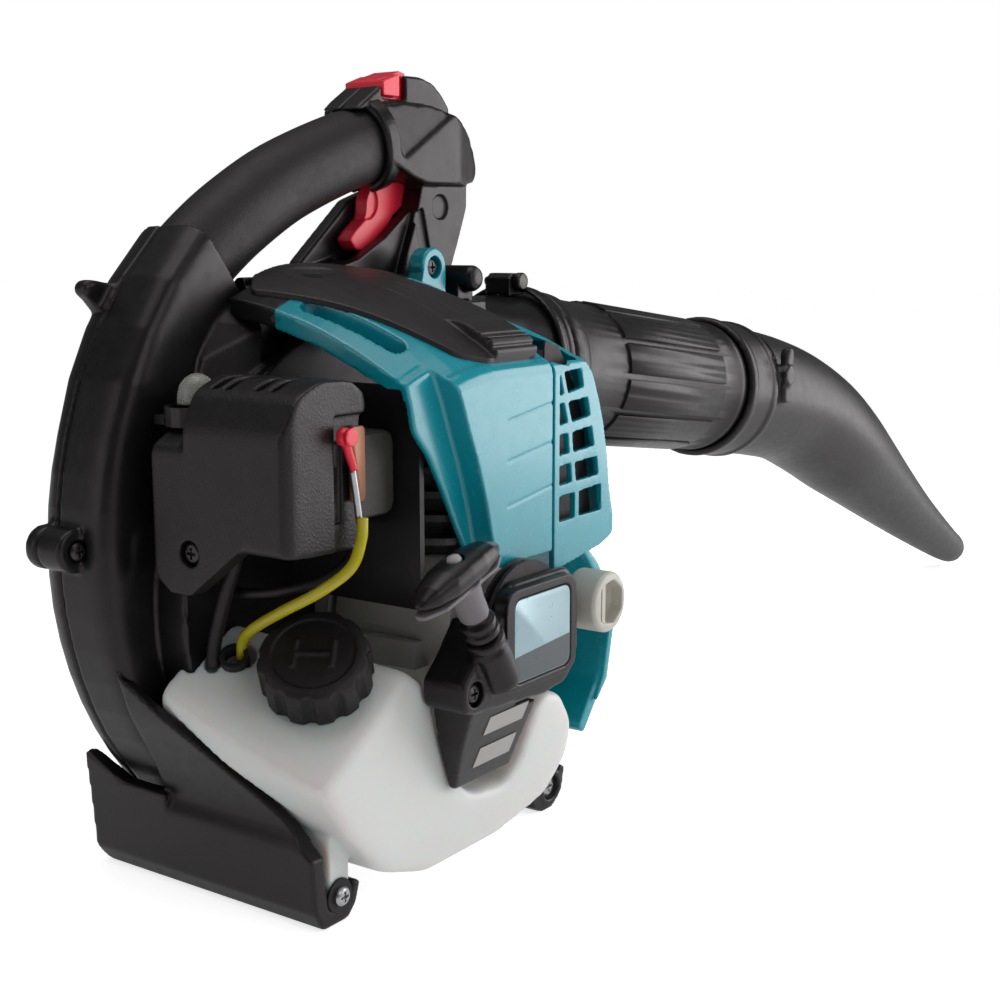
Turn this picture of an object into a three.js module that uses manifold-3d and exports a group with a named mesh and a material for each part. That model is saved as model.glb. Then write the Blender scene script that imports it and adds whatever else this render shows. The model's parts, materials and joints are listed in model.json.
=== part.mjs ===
// Hand-held petrol leaf blower: fan housing, four-stroke engine, fuel tank, handle, pipe and nozzle.
// Millimetres. +X runs forward to the nozzle, +Y to the air intake, +Z up. The design frame has the
// handle's split line in the plane Y = 0 and the feet on Z = 0; the group is then moved so that the
// middle of its box stands on the origin.
import * as THREE from "three";
import { mergeVertices } from "three/addons/utils/BufferGeometryUtils.js";
import Module from "manifold-3d";

const wasm = await Module();
wasm.setup();

// ---- driving dimensions ----
const GAP = 0.3; // between pieces that touch
const HALF_GAP = GAP / 2; // each side of the handle's split line
const WALL = 3; // moulded housings
const CRANK = { x: 108, z: 112 }; // crank axis, along Y
const SCROLL = { start: 96, growth: 42, power: 1.9 }; // scroll radius from the tongue to the top
const LEFT_FACE = 22; // outer face of the intake side
const RIGHT_FACE = -48; // outer face of the fan housing on the engine side
const RIM_RIGHT = -30; // right edge of the wide rear rim
const RIM = { x: 143, z: 150, radius: 177 }; // rear rim's arc
const FOOT_RIGHT = -115; // right end of both feet
const REAR_LUG = { x: -36, z: 155 }; // boss of the screw that joins the housing halves
const FAN = { radius: 84, disc: -41, front: 12, blades: 11 };
const EYE_RADIUS = 56; // intake opening
const DUCT = { x: 262, y: -32, z: 213, radius: 41 }; // round end of the outlet
const PIPE = { yaw: -5, pitch: -7.6, length: 208, radius: 40.5, wall: 2.4 };
const ENGINE_Y = -95; // middle of the cylinder
const COVER_FACE = -138; // right face of the engine cover
const STARTER_FACE = -150; // right face of the recoil starter
const GRIP_RADIUS = 19.5;
const SLEEVE_END = 171; // the soft grip stops inside the head's collar
const TANK = { left: -40, right: -125 };
const CAP_AXIS = new THREE.Vector3(-0.52, -0.335, 0.785).normalize();
const CAP_BASE = new THREE.Vector3(22, -95, 99);
const GROMMET = new THREE.Vector3(11, -61, 106.6);
const GROMMET_RADIUS = 6.4;
const CAP = { radius: 24, height: 19, neck: 17 };
const PULL_AXIS = new THREE.Vector3(-0.52, 0, 0.854).normalize(); // the starter rope's pull
const COVER_LUG = { x: 184, z: 269 };
const STARTER_SCREW = { x: 60, z: 93 };
const ROPE_EXIT = new THREE.Vector3(66, -151, 114);

// ---- materials ----
const paint = (color, roughness, metalness = 0) =>
  new THREE.MeshStandardMaterial({ color, roughness, metalness });
const BLACK = paint(0x1c1b1d, 0.42);
const DARK = paint(0x2a292b, 0.6);
const TEAL = paint(0x047e8e, 0.28);
const WHITE = paint(0xe9ebe8, 0.4);
const RED = paint(0xc81e2c, 0.4);
const RUBBER = paint(0x19191a, 0.8);
const ALLOY = paint(0x9a9a98, 0.5, 0.9);
const STEEL = paint(0x8b8d90, 0.35, 1);
const BRONZE = paint(0x8a5a44, 0.5, 0.3);
const LINE = paint(0xb8ac2e, 0.35);
const BONE = paint(0xbcbab0, 0.5);
const PLATE = paint(0x7f9fa8, 0.35);
const FOAM = paint(0x3a3a38, 0.95);

const group = new THREE.Group();

// ---- solids ----
const rad = THREE.MathUtils.degToRad;
const vec = (x, y, z) => new THREE.Vector3(x, y, z);

// A three.js geometry as a manifold-3d solid.
function solid(geometry) {
  const bare = geometry.index ? geometry.toNonIndexed() : geometry.clone();
  bare.deleteAttribute("normal");
  bare.deleteAttribute("uv");
  const merged = mergeVertices(bare, 1e-4);
  const vertProperties = merged.attributes.position.array;
  const triVerts = new Uint32Array(merged.index.array);
  const made = new wasm.Manifold(new wasm.Mesh({ numProp: 3, vertProperties, triVerts }));
  if (made.volume() > 0) return made;
  triVerts.reverse(); // a profile drawn the other way round gives an inside-out skin
  return new wasm.Manifold(new wasm.Mesh({ numProp: 3, vertProperties, triVerts }));
}

function geometryOf(made) {
  const mesh = made.getMesh();
  const geometry = new THREE.BufferGeometry();
  const positions = new Float32Array(mesh.numVert * 3);
  for (let i = 0; i < mesh.numVert; i++)
    for (let k = 0; k < 3; k++)
      positions[3 * i + k] = mesh.vertProperties[mesh.numProp * i + k];
  geometry.setAttribute("position", new THREE.BufferAttribute(positions, 3));
  geometry.setIndex(new THREE.BufferAttribute(new Uint32Array(mesh.triVerts), 1));
  return geometry;
}

function add(name, made, material) {
  const geometry = geometryOf(made);
  geometry.computeVertexNormals();
  const mesh = new THREE.Mesh(geometry, material);
  mesh.name = name;
  group.add(mesh);
}

const join = (first, ...rest) => rest.reduce((sum, next) => sum.add(next), first);
const cut = (first, ...rest) => rest.reduce((sum, next) => sum.subtract(next), first);

function box(x0, x1, y0, y1, z0, z1) {
  const made = new THREE.BoxGeometry(x1 - x0, y1 - y0, z1 - z0);
  return solid(made.translate((x0 + x1) / 2, (y0 + y1) / 2, (z0 + z1) / 2));
}

// A turn that takes +Z to the given direction.
const turnTo = (axis) =>
  new THREE.Matrix4().makeRotationFromQuaternion(
    new THREE.Quaternion().setFromUnitVectors(vec(0, 0, 1), axis.clone().normalize()),
  );

// A round bar from one point to another, tapered when two radii are given.
function bar(from, to, radius, radiusEnd = radius, sides = 16) {
  const axis = to.clone().sub(from);
  const made = new THREE.CylinderGeometry(radiusEnd, radius, axis.length(), sides);
  made.rotateX(Math.PI / 2);
  made.applyMatrix4(turnTo(axis));
  const middle = from.clone().add(to).multiplyScalar(0.5);
  return solid(made.translate(middle.x, middle.y, middle.z));
}

// A turned piece: profile points are [radius, distance along the axis].
function turned(profile, origin, axis, sides = 24) {
  const points = profile.map(([r, h]) => new THREE.Vector2(r, h));
  const made = new THREE.LatheGeometry(points, sides);
  made.rotateX(Math.PI / 2);
  made.applyMatrix4(turnTo(axis));
  return solid(made.translate(origin.x, origin.y, origin.z));
}

// Outlines are lists of [a, b] points; the three extrusions run along Y, X and Z.
const outline = (points) =>
  new THREE.Shape(points.map(([a, b]) => new THREE.Vector2(a, b)));
const bevelled = (depth, bevel) => ({
  depth: depth - 2 * bevel,
  bevelEnabled: bevel > 0,
  bevelThickness: bevel,
  bevelSize: bevel,
  bevelOffset: -bevel,
  bevelSegments: 1,
  curveSegments: 12,
});

function alongY(points, yLow, yHigh, bevel = 0) {
  const made = new THREE.ExtrudeGeometry(outline(points), bevelled(yHigh - yLow, bevel));
  made.rotateX(Math.PI / 2);
  return solid(made.translate(0, yHigh - bevel, 0));
}

function alongX(points, xLow, xHigh, bevel = 0) {
  const made = new THREE.ExtrudeGeometry(outline(points), bevelled(xHigh - xLow, bevel));
  made.applyMatrix4(new THREE.Matrix4().makeBasis(vec(0, 1, 0), vec(0, 0, 1), vec(1, 0, 0)));
  return solid(made.translate(xLow + bevel, 0, 0));
}

// A rounded rectangle as an outline.
function roundedBox(a0, a1, b0, b1, radius, steps = 4) {
  const corners = [
    [a1 - radius, b1 - radius, 0],
    [a0 + radius, b1 - radius, 90],
    [a0 + radius, b0 + radius, 180],
    [a1 - radius, b0 + radius, 270],
  ];
  const points = [];
  for (const [ca, cb, start] of corners)
    for (let i = 0; i <= steps; i++) {
      const t = rad(start + (90 * i) / steps);
      points.push([ca + radius * Math.cos(t), cb + radius * Math.sin(t)]);
    }
  return points;
}

// A closed skin through rings of points, with flat ends.
function loft(rings) {
  const count = rings[0].length;
  const points = rings.flat();
  const faces = [];
  for (let r = 0; r + 1 < rings.length; r++)
    for (let i = 0; i < count; i++) {
      const j = (i + 1) % count;
      const [a, b, c, d] = [r * count + i, r * count + j, (r + 1) * count + j, (r + 1) * count + i];
      faces.push(a, b, c, a, c, d);
    }
  const last = (rings.length - 1) * count;
  for (let i = 1; i + 1 < count; i++) {
    faces.push(0, i + 1, i);
    faces.push(last, last + i, last + i + 1);
  }
  const geometry = new THREE.BufferGeometry().setFromPoints(points);
  geometry.setIndex(faces);
  return solid(geometry);
}

// One ring: a superellipse about a centre, in the plane of two directions.
function ring(centre, along, across, a, b, power = 2, sides = 20) {
  const points = [];
  for (let i = 0; i < sides; i++) {
    const t = (2 * Math.PI * i) / sides;
    const [c, s] = [Math.cos(t), Math.sin(t)];
    const u = Math.sign(c) * Math.abs(c) ** (2 / power) * a;
    const v = Math.sign(s) * Math.abs(s) ** (2 / power) * b;
    points.push(centre.clone().addScaledVector(along, u).addScaledVector(across, v));
  }
  return points;
}

// A tube along hand-chosen points.
function tube(points, radius, sides, steps) {
  const path = new THREE.CatmullRomCurve3(points.map(([x, y, z]) => vec(x, y, z)));
  const section = new THREE.Shape();
  for (let i = 0; i <= sides; i++) {
    const t = (2 * Math.PI * i) / sides;
    const place = [radius * Math.cos(t), radius * Math.sin(t)];
    if (i === 0) section.moveTo(...place);
    else section.lineTo(...place);
  }
  return solid(
    new THREE.ExtrudeGeometry(section, { steps, bevelEnabled: false, extrudePath: path }),
  );
}

// ---- the pipe's axis ----
const pipeAxis = vec(
  Math.cos(rad(PIPE.pitch)) * Math.cos(rad(PIPE.yaw)),
  Math.cos(rad(PIPE.pitch)) * Math.sin(rad(PIPE.yaw)),
  Math.sin(rad(PIPE.pitch)),
);
const pipeSide = vec(-Math.sin(rad(PIPE.yaw)), Math.cos(rad(PIPE.yaw)), 0);
const pipeUp = pipeAxis.clone().cross(pipeSide);
const pipeStart = vec(DUCT.x, DUCT.y, DUCT.z);
const alongPipe = (s) => pipeStart.clone().addScaledVector(pipeAxis, s);

// ---- fan housing ----
// The scroll grows from the tongue, at the front, down and round to the top.
const scrollRadius = (degrees) =>
  SCROLL.start + SCROLL.growth * (degrees / 270) ** SCROLL.power;

function scrollOutline(inset) {
  const points = [];
  for (let degrees = 0; degrees <= 270; degrees += 15) {
    const r = scrollRadius(degrees) - inset;
    const t = rad(degrees);
    points.push([CRANK.x + r * Math.cos(t), CRANK.z - r * Math.sin(t)]);
  }
  const top = CRANK.z + scrollRadius(270) - inset;
  const mouth = CRANK.x + SCROLL.start + 6;
  points.push([mouth, top + 1.5], [mouth, CRANK.z + 52 + inset]);
  return points;
}

// The outlet narrows from the scroll's mouth to the round end that takes the pipe.
function duct(inset) {
  const start = CRANK.x + 60;
  const middleY = (LEFT_FACE + RIGHT_FACE) / 2;
  const up = vec(0, 0, 1);
  const left = vec(0, 1, 0);
  const reach = inset > 0 ? 1 : 0;
  return loft([
    ring(vec(start, middleY, 208), left, up, 35 - inset, 41 - inset, 8),
    ring(vec(start + 45, middleY - 5, 209), left, up, 36 - inset, 41.5 - inset, 5),
    ring(vec(DUCT.x - 16, DUCT.y + 2, 212), left, up, DUCT.radius - inset, DUCT.radius - inset, 2.3),
    ring(alongPipe(reach), pipeSide, pipeUp, DUCT.radius - inset, DUCT.radius - inset),
  ]);
}

function rimOutline(inset) {
  const points = [[60, 60]];
  for (let degrees = 222; degrees >= 142; degrees -= 8) {
    const t = rad(degrees);
    const r = RIM.radius - inset;
    points.push([RIM.x + r * Math.cos(t), RIM.z + r * Math.sin(t)]);
  }
  points.push([60, 236]);
  return points;
}

// The handle's middle line, from inside the boot to inside the switch head: [x, z].
const GRIP_LINE = [
  [30, 252], [44, 270], [62, 284.5], [82, 297], [104, 308.5],
  [128, 318], [152, 326], [172, 331.5], [190, 336],
];

function gripSkin(radius) {
  const path = GRIP_LINE.map(([x, z]) => vec(x, 0, z));
  const rings = path.map((p, i) => {
    const ahead = path[Math.min(i + 1, path.length - 1)];
    const behind = path[Math.max(i - 1, 0)];
    const dir = ahead.clone().sub(behind).normalize();
    return ring(p, vec(-dir.z, 0, dir.x), vec(0, 1, 0), radius, radius * 0.95, 2.2);
  });
  return loft(rings);
}

// The boot flares from the handle's root into the rim.
function boot(inset) {
  const back = vec(1, 0, -0.25).normalize();
  const mid = vec(0.9, 0, -0.55).normalize();
  const root = vec(0.72, 0, -0.69).normalize();
  const left = vec(0, 1, 0);
  return loft([
    ring(vec(8, -6, 192), back, left, 36 - inset, 27 - inset, 4),
    ring(vec(16, -6, 224), mid, left, 35 - inset, 29 - inset, 3.6),
    ring(vec(26, -4, 253), root, left, 28.5 - inset, 26.5 - inset, 2.9),
    ring(vec(43, -1, 268), root, left, 25 - inset, 24.5 - inset, 2.2),
  ]);
}

const keep = {
  left: box(-200, 400, HALF_GAP, 200, -50, 450),
  right: box(-200, 400, -300, -HALF_GAP, -50, 450),
};

function fanHousing() {
  const outer = join(
    alongY(scrollOutline(0), RIGHT_FACE, LEFT_FACE),
    alongY(rimOutline(0), RIM_RIGHT, LEFT_FACE, 2),
    boot(0),
    duct(0),
  );
  const hollow = join(
    alongY(scrollOutline(WALL), RIGHT_FACE + WALL, LEFT_FACE - WALL),
    duct(WALL),
    cut(
      join(alongY(rimOutline(WALL), RIM_RIGHT + WALL, LEFT_FACE - WALL), boot(WALL)),
      alongY(scrollOutline(0), RIGHT_FACE, LEFT_FACE),
      box(20, 400, -60, 60, 0, 450),
    ),
    gripSkin(GRIP_RADIUS + GAP),
  );
  const crankHole = bar(vec(CRANK.x, RIGHT_FACE - 1, CRANK.z), vec(CRANK.x, 0, CRANK.z), 14);
  const eye = bar(vec(CRANK.x, 0, CRANK.z), vec(CRANK.x, LEFT_FACE + 1, CRANK.z), EYE_RADIUS);
  const shell = cut(outer, hollow, crankHole, eye);
  const lugs = join(
    bar(vec(REAR_LUG.x, -15, REAR_LUG.z), vec(REAR_LUG.x, 8, REAR_LUG.z), 9.5),
    bar(vec(-6, 4, 262), vec(-6, 12, 262), 4),
    alongY([[-7, 258], [8, 240], [18, 262], [-5, 266]], 4, 12),
  );
  const closed = join(shell, cut(lugs, hollow));
  add("left_cover", closed.intersect(keep.left), BLACK);
  add("right_housing", closed.intersect(keep.right), BLACK);

  const frame = turned(
    [
      [EYE_RADIUS + 3, 0],
      [EYE_RADIUS + 22, 0],
      [EYE_RADIUS + 20, 12],
      [EYE_RADIUS + 2, 42],
      [0, 46],
      [0, 43],
      [EYE_RADIUS, 39],
      [EYE_RADIUS + 16, 12],
      [EYE_RADIUS + 3, 12],
      [EYE_RADIUS + 3, 0],
    ],
    vec(CRANK.x, LEFT_FACE + GAP, CRANK.z),
    vec(0, 1, 0),
    28,
  );
  const slots = [];
  const pitch = 19;
  for (let row = -2; row <= 2; row++) {
    const z = CRANK.z + row * pitch;
    const half = Math.sqrt(52 ** 2 - (row * pitch) ** 2);
    slots.push(box(CRANK.x - half, CRANK.x - 3, 52, 90, z - 6.5, z + 6.5));
    slots.push(box(CRANK.x + 3, CRANK.x + half, 52, 90, z - 6.5, z + 6.5));
  }
  add("intake_guard", cut(frame, ...slots), DARK);
}

function feet() {
  const rear = [
    [0, 0], [16, 0], [21, 5], [24, 14], [20, 16], [16, 8], [4, 6], [1, 34], [3, 42],
    [-1, 54], [-17, 85], [-26, 112], [-30, 112], [-21.5, 84], [-6, 53], [-2, 42], [-7, 36], [-4, 17],
  ];
  const plate = alongY(rear, FOOT_RIGHT, RIM_RIGHT - GAP, 0);
  const slope = alongX([[-32, 98], [-118, 30], [-130, 30], [-130, 130], [-32, 130]], -60, -GAP + 4);
  const underRim = [
    [0, 0], [16, 0], [21, 5], [24, 14], [20, 16], [16, 8], [4, 6],
    [4, 22], [-2, 52], [-9, 52], [-7, 36], [-4, 17],
  ];
  const inner = cut(
    alongY(underRim, RIM_RIGHT - GAP, LEFT_FACE - 2),
    alongY(scrollOutline(-GAP), RIGHT_FACE, LEFT_FACE),
    alongY(rimOutline(-GAP), RIM_RIGHT - 2, LEFT_FACE + 2),
  );
  add("rear_foot", join(cut(plate, slope), inner), BLACK);
  const front = [
    [158, 3], [163, 0], [174, 0], [181, 6], [184, 18], [180, 20], [174, 8], [164, 6], [162, 14], [158, 14],
  ];
  const bridge = cut(
    alongY([[140, 12], [162, 8], [162, 14], [140, 26]], TANK.left + 1, LEFT_FACE - 4),
    alongY(scrollOutline(-GAP), RIGHT_FACE - GAP, LEFT_FACE),
  );
  add("front_foot", join(alongY(front, FOOT_RIGHT, LEFT_FACE - 2), bridge), BLACK);
}

// ---- rotating group ----
function rotor() {
  const disc = turned(
    [[9.2, 0], [FAN.radius, 0], [FAN.radius, 3], [26, 6], [18, 40], [14, 52], [9.2, 52], [9.2, 0]],
    vec(CRANK.x, FAN.disc, CRANK.z),
    vec(0, 1, 0),
    30,
  );
  let fan = disc;
  for (let i = 0; i < FAN.blades; i++) {
    const blade = new THREE.BoxGeometry(44, 48, 2.4);
    blade.rotateY(rad(32)); // swept back from the direction of turning
    blade.translate(58, FAN.disc + 25.5, 0);
    blade.rotateY((2 * Math.PI * i) / FAN.blades);
    blade.translate(CRANK.x, 0, CRANK.z);
    fan = fan.add(solid(blade));
  }
  const reach = bar(vec(CRANK.x, -60, CRANK.z), vec(CRANK.x, 60, CRANK.z), FAN.radius, FAN.radius, 30);
  add("fan_impeller", fan.intersect(reach), DARK);
  const at = (y) => vec(CRANK.x, y, CRANK.z);
  const shaft = join(bar(at(-141), at(FAN.front), 8), bar(at(-101), at(-89), 24));
  add("crankshaft", shaft, STEEL);
  const nut = bar(at(FAN.front + GAP), at(FAN.front + 9), 10, 10, 6);
  add("fan_nut", nut, STEEL);
  const wheel = turned(
    [[8.3, 0], [14, 0], [14, 2], [34, 2], [34, 10], [8.3, 10], [8.3, 0]], at(-60), vec(0, 1, 0), 24,
  );
  add("flywheel", wheel, ALLOY);
}

// ---- engine ----
function engine() {
  const at = (y) => vec(CRANK.x, y, CRANK.z);
  const seat = box(CRANK.x - 28, CRANK.x + 28, -122, -68, 108, 144);
  const block = join(bar(at(-127), at(-62), 33, 33, 20), seat, box(70, 146, -112, -78, 96, 108));
  const bore = bar(vec(CRANK.x, ENGINE_Y, CRANK.z), vec(CRANK.x, ENGINE_Y, 150), 17.2);
  const joint = box(0, 300, -200, 0, 144, 300);
  const coverSeat = box(0, 300, -200, -122, 138, 300);
  const room = bar(at(-119), at(-70), 27, 27, 20);
  const case_ = cut(block, joint, coverSeat, room, bar(at(-130), at(-50), 8.4), bore);
  add("crankcase", case_, ALLOY);

  const profile = [[0, 0], [21, 0], [21, 4]];
  const fins = 6;
  for (let i = 0; i < fins; i++) {
    const h = 6 + i * 10.5;
    profile.push([23, h], [33, h], [33, h + 3], [23, h + 3]);
  }
  profile.push([23, 70], [0, 70]);
  const head = turned(profile, vec(CRANK.x, ENGINE_Y, 144 + GAP), vec(0, 0, 1), 16);
  const trim = box(CRANK.x - 29, CRANK.x + 29, -121, -60, 100, 260);
  const inside = bar(vec(CRANK.x, ENGINE_Y, 140), vec(CRANK.x, ENGINE_Y, 202), 17);
  const plugHole = bar(vec(CRANK.x, ENGINE_Y, 200), vec(CRANK.x, ENGINE_Y, 220), 6);
  add("cylinder", cut(head.intersect(trim), inside, plugHole), ALLOY);

  const crown = bar(vec(CRANK.x, ENGINE_Y, 147), vec(CRANK.x, ENGINE_Y, 172), 16.6);
  const skirt = bar(vec(CRANK.x, ENGINE_Y, 146), vec(CRANK.x, ENGINE_Y, 167), 13.5);
  add("piston", cut(crown, skirt), ALLOY);

  const plug = turned(
    [[0, 0], [5.6, 0], [5.6, 12.5], [9, 12.5], [9, 18], [5, 20], [4, 28], [0, 28]],
    vec(CRANK.x, ENGINE_Y, 202.5), vec(0, 0, 1), 18,
  );
  add("spark_plug", plug, STEEL);
  const boot_ = join(
    bar(vec(CRANK.x, ENGINE_Y, 224.5), vec(CRANK.x, ENGINE_Y, 239), 8.5),
    bar(vec(CRANK.x, ENGINE_Y, 233), vec(CRANK.x, -66, 236), 5),
  );
  const socket = bar(vec(CRANK.x, ENGINE_Y, 215), vec(CRANK.x, ENGINE_Y, 232), 5.4);
  add("plug_cap", cut(boot_, socket), RUBBER);

  const silencer = cut(
    alongY(roundedBox(147, 173, 146, 202, 8, 2), -124, -66, 3),
    bar(vec(160, -60, 156), vec(160, -78, 156), 7),
  );
  const port = bar(vec(138, ENGINE_Y, 176), vec(149, ENGINE_Y, 176), 9);
  add("muffler", join(silencer, port), STEEL);
  const wall = box(62, 65, -122, RIGHT_FACE - GAP, 126, 222);
  add("cylinder_shroud", cut(wall, bar(vec(50, -93, 184), vec(80, -93, 184), 12.5)), BLACK);
  add("ignition_coil", alongY(roundedBox(90, 122, 148, 168, 3, 2), -60.5, -50.5, 1), DARK);
}

// ---- recoil starter ----
function starter() {
  const casing = [
    [52, 86], [113, 80], [130, 82], [138, 90], [138, 124],
    [132, 135], [86, 135], [76, 124], [60, 106], [52, 98],
  ];
  const skirt = [[-127 - GAP, 90], [STARTER_FACE, 90], [STARTER_FACE + 1, 77], [-131, 43], [-127 - GAP, 43]];
  const frame = roundedBox(78, 134, 88, 133, 8);
  const shell = join(
    alongY(casing, STARTER_FACE, -127 - GAP, 3),
    alongX(skirt, 66, 113, 1),
    alongY(frame, STARTER_FACE - 4, STARTER_FACE + 6, 1.5),
  );
  const well = bar(vec(CRANK.x, -147, CRANK.z), vec(CRANK.x, -120, CRANK.z), 36, 36, 24);
  const room = alongY([[70, 70], [108, 70], [132, 94], [132, 130], [88, 130], [70, 106]], -136, -120);
  const seat = alongY(roundedBox(84, 128, 92, 129, 5), STARTER_FACE - 5, STARTER_FACE - 2.4);
  const guideEnd = ROPE_EXIT.clone().addScaledVector(PULL_AXIS, 5);
  const guideRoot = ROPE_EXIT.clone().addScaledVector(PULL_AXIS, -20);
  const bore = bar(guideRoot, guideEnd.clone().addScaledVector(PULL_AXIS, 1), 2.6, 2.6, 12);
  const guide = cut(bar(guideRoot, guideEnd, 8.5), box(78, 140, -170, -120, 60, 140));
  const screwAt = (depth) => vec(STARTER_SCREW.x, STARTER_FACE + depth, STARTER_SCREW.z);
  const screwWell = bar(screwAt(-1), screwAt(5), 6);
  const inner = join(well.intersect(box(0, 300, -147, -120, 0, 300)), room);
  const made = join(cut(shell, inner, seat, screwWell), cut(guide, inner));
  add("starter_housing", cut(made, bore), BLACK);
  const badge = roundedBox(84.5, 127.5, 92.5, 128.5, 4.5);
  add("badge_plate", alongY(badge, STARTER_FACE - 3.6, STARTER_FACE - 2.7), PLATE);
  const pulley = turned(
    [[8.3, 0], [31, 0], [31, 2], [27, 3], [27, 4], [31, 5], [31, 6], [8.3, 6], [8.3, 0]],
    vec(CRANK.x, -145.8, CRANK.z), vec(0, 1, 0), 24,
  );
  add("recoil_pulley", pulley, DARK);

  const top = ROPE_EXIT.clone().addScaledVector(PULL_AXIS, 40);
  const collar = ROPE_EXIT.clone().addScaledVector(PULL_AXIS, 5 + GAP);
  const barAxis = vec(0.953, 0, 0.303).normalize();
  const handle = loft(
    [-28, -22, -10, 10, 22, 28].map((s, i) => {
      const fat = [2, 5.5, 8.5, 8.5, 5.5, 2][i];
      const bow = -((s / 28) ** 2) * 1.5;
      const centre = top.clone().addScaledVector(barAxis, s).addScaledVector(PULL_AXIS, bow);
      return ring(centre, vec(0, 1, 0), vec(-0.303, 0, 0.953), fat + 0.5, fat, 2.4, 16);
    }),
  );
  const stem = bar(collar, top, 8, 6.5);
  const along = (from, distance) => from.clone().addScaledVector(PULL_AXIS, distance);
  const ropeHole = bar(along(collar, -2), along(collar, 8), 2.6, 2.6, 12);
  add("starter_grip", cut(join(handle, stem), ropeHole), BLACK);
  add("starter_rope", bar(along(guideRoot, 1), along(collar, 7), 1.8, 1.8, 8), FOAM);
}

// ---- covers over the engine ----
// The covers share one roof, which falls away to the right.
const roofZ = (y) => 270 - 0.0029 * (-y - 15) ** 2;
function roofOutline(yLeft, yRight, drop, bottom) {
  const points = [[yLeft, bottom]];
  const steps = 8;
  for (let i = 0; i <= steps; i++) {
    const y = yLeft + ((yRight - yLeft) * i) / steps;
    points.push([y, roofZ(y) - drop]);
  }
  return points;
}

function engineCover() {
  const strip = [
    [43, 227], [48, 205], [60, 192], [80, 158], [88, 147], [137, 147], [137, 262], [58, 262], [42, 238],
  ];
  const panel = [
    [92.5, 139.8], [137, 141.7], [137, 262], [60, 262], [56, 238], [62.8, 225], [72.7, 202], [85, 170],
  ];
  const stripIn = [[30, 100], [138, 100], [138, 256], [62, 256], [47, 236], [46, 226]];
  const panelIn = [[97, 130], [138, 130], [138, 256], [62, 256], [60, 238], [67, 225], [77, 202], [89, 170]];
  const step = COVER_FACE + 12; // the panel stands this far proud of the strip behind it
  const roof = [...roofOutline(-50, step, 4, 100), [step, 100]];
  const shoulder = [...roofOutline(-50, step, 4, 100), [COVER_FACE, 226], [COVER_FACE, 100]];
  const roofIn = [...roofOutline(-40, step, 7, 90), [COVER_FACE + WALL, 224], [COVER_FACE + WALL, 90]];
  const block = join(
    alongY(strip, step, -50).intersect(alongX(roof, 20, 150)),
    alongY(panel, COVER_FACE, step + 1).intersect(alongX(shoulder, 20, 150)),
  );
  const inside = join(alongY(stripIn, step + WALL, -40), alongY(panelIn, COVER_FACE + WALL, -100));
  const hatch = box(CRANK.x - 18, CRANK.x + 18, -112, -78, 225, 270);
  const hold = box(46, 51, -122, -66, 240, 252); // finger hold in the rear band
  const rear = box(20, 130, step + WALL, -40, 100, 224);
  add("engine_cover", cut(block, inside.intersect(alongX(roofIn, 20, 150)), hatch, rear, hold), TEAL);
}

function grille() {
  const face = [
    [137.4, 132], [180, 134], [188, 142], [188, 160], [184, 190],
    [174, 218], [166, 236], [162, 243], [137.4, 246],
  ];
  const faceIn = [
    [130, 120], [176, 120], [185, 143], [185, 160], [181, 189], [171, 217], [160, 238], [130, 240],
  ];
  const roofG = [...roofOutline(-58, -126, 3, 100), [COVER_FACE - 1, 226], [COVER_FACE - 1, 100]];
  const shellG = cut(
    alongY(face, COVER_FACE - 1, -58).intersect(alongX(roofG, 100, 200)),
    alongY(faceIn, COVER_FACE + 2, -50),
  );
  const windows = [];
  const rows = 6;
  for (let i = 0; i < rows; i++) {
    const z = 156 + i * 14;
    const right = 181 - Math.max(0, i - 2) * 4.5;
    windows.push(box(142, 149, -150, -130, z, z + 9));
    windows.push(box(152, right, -150, -130, z, z + 9));
    windows.push(box(158, 200, -126, -68, z, z + 9));
  }
  add("grille_cover", cut(shellG, ...windows), TEAL);

  const blade = [
    [190, 139], [214, 118], [229, 88], [221, 58], [200, 34],
    [197, 37], [216, 60], [224, 88], [210, 115], [190.3, 131],
  ];
  add("lower_guard", alongY(blade, -118, -62), TEAL);
}

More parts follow.
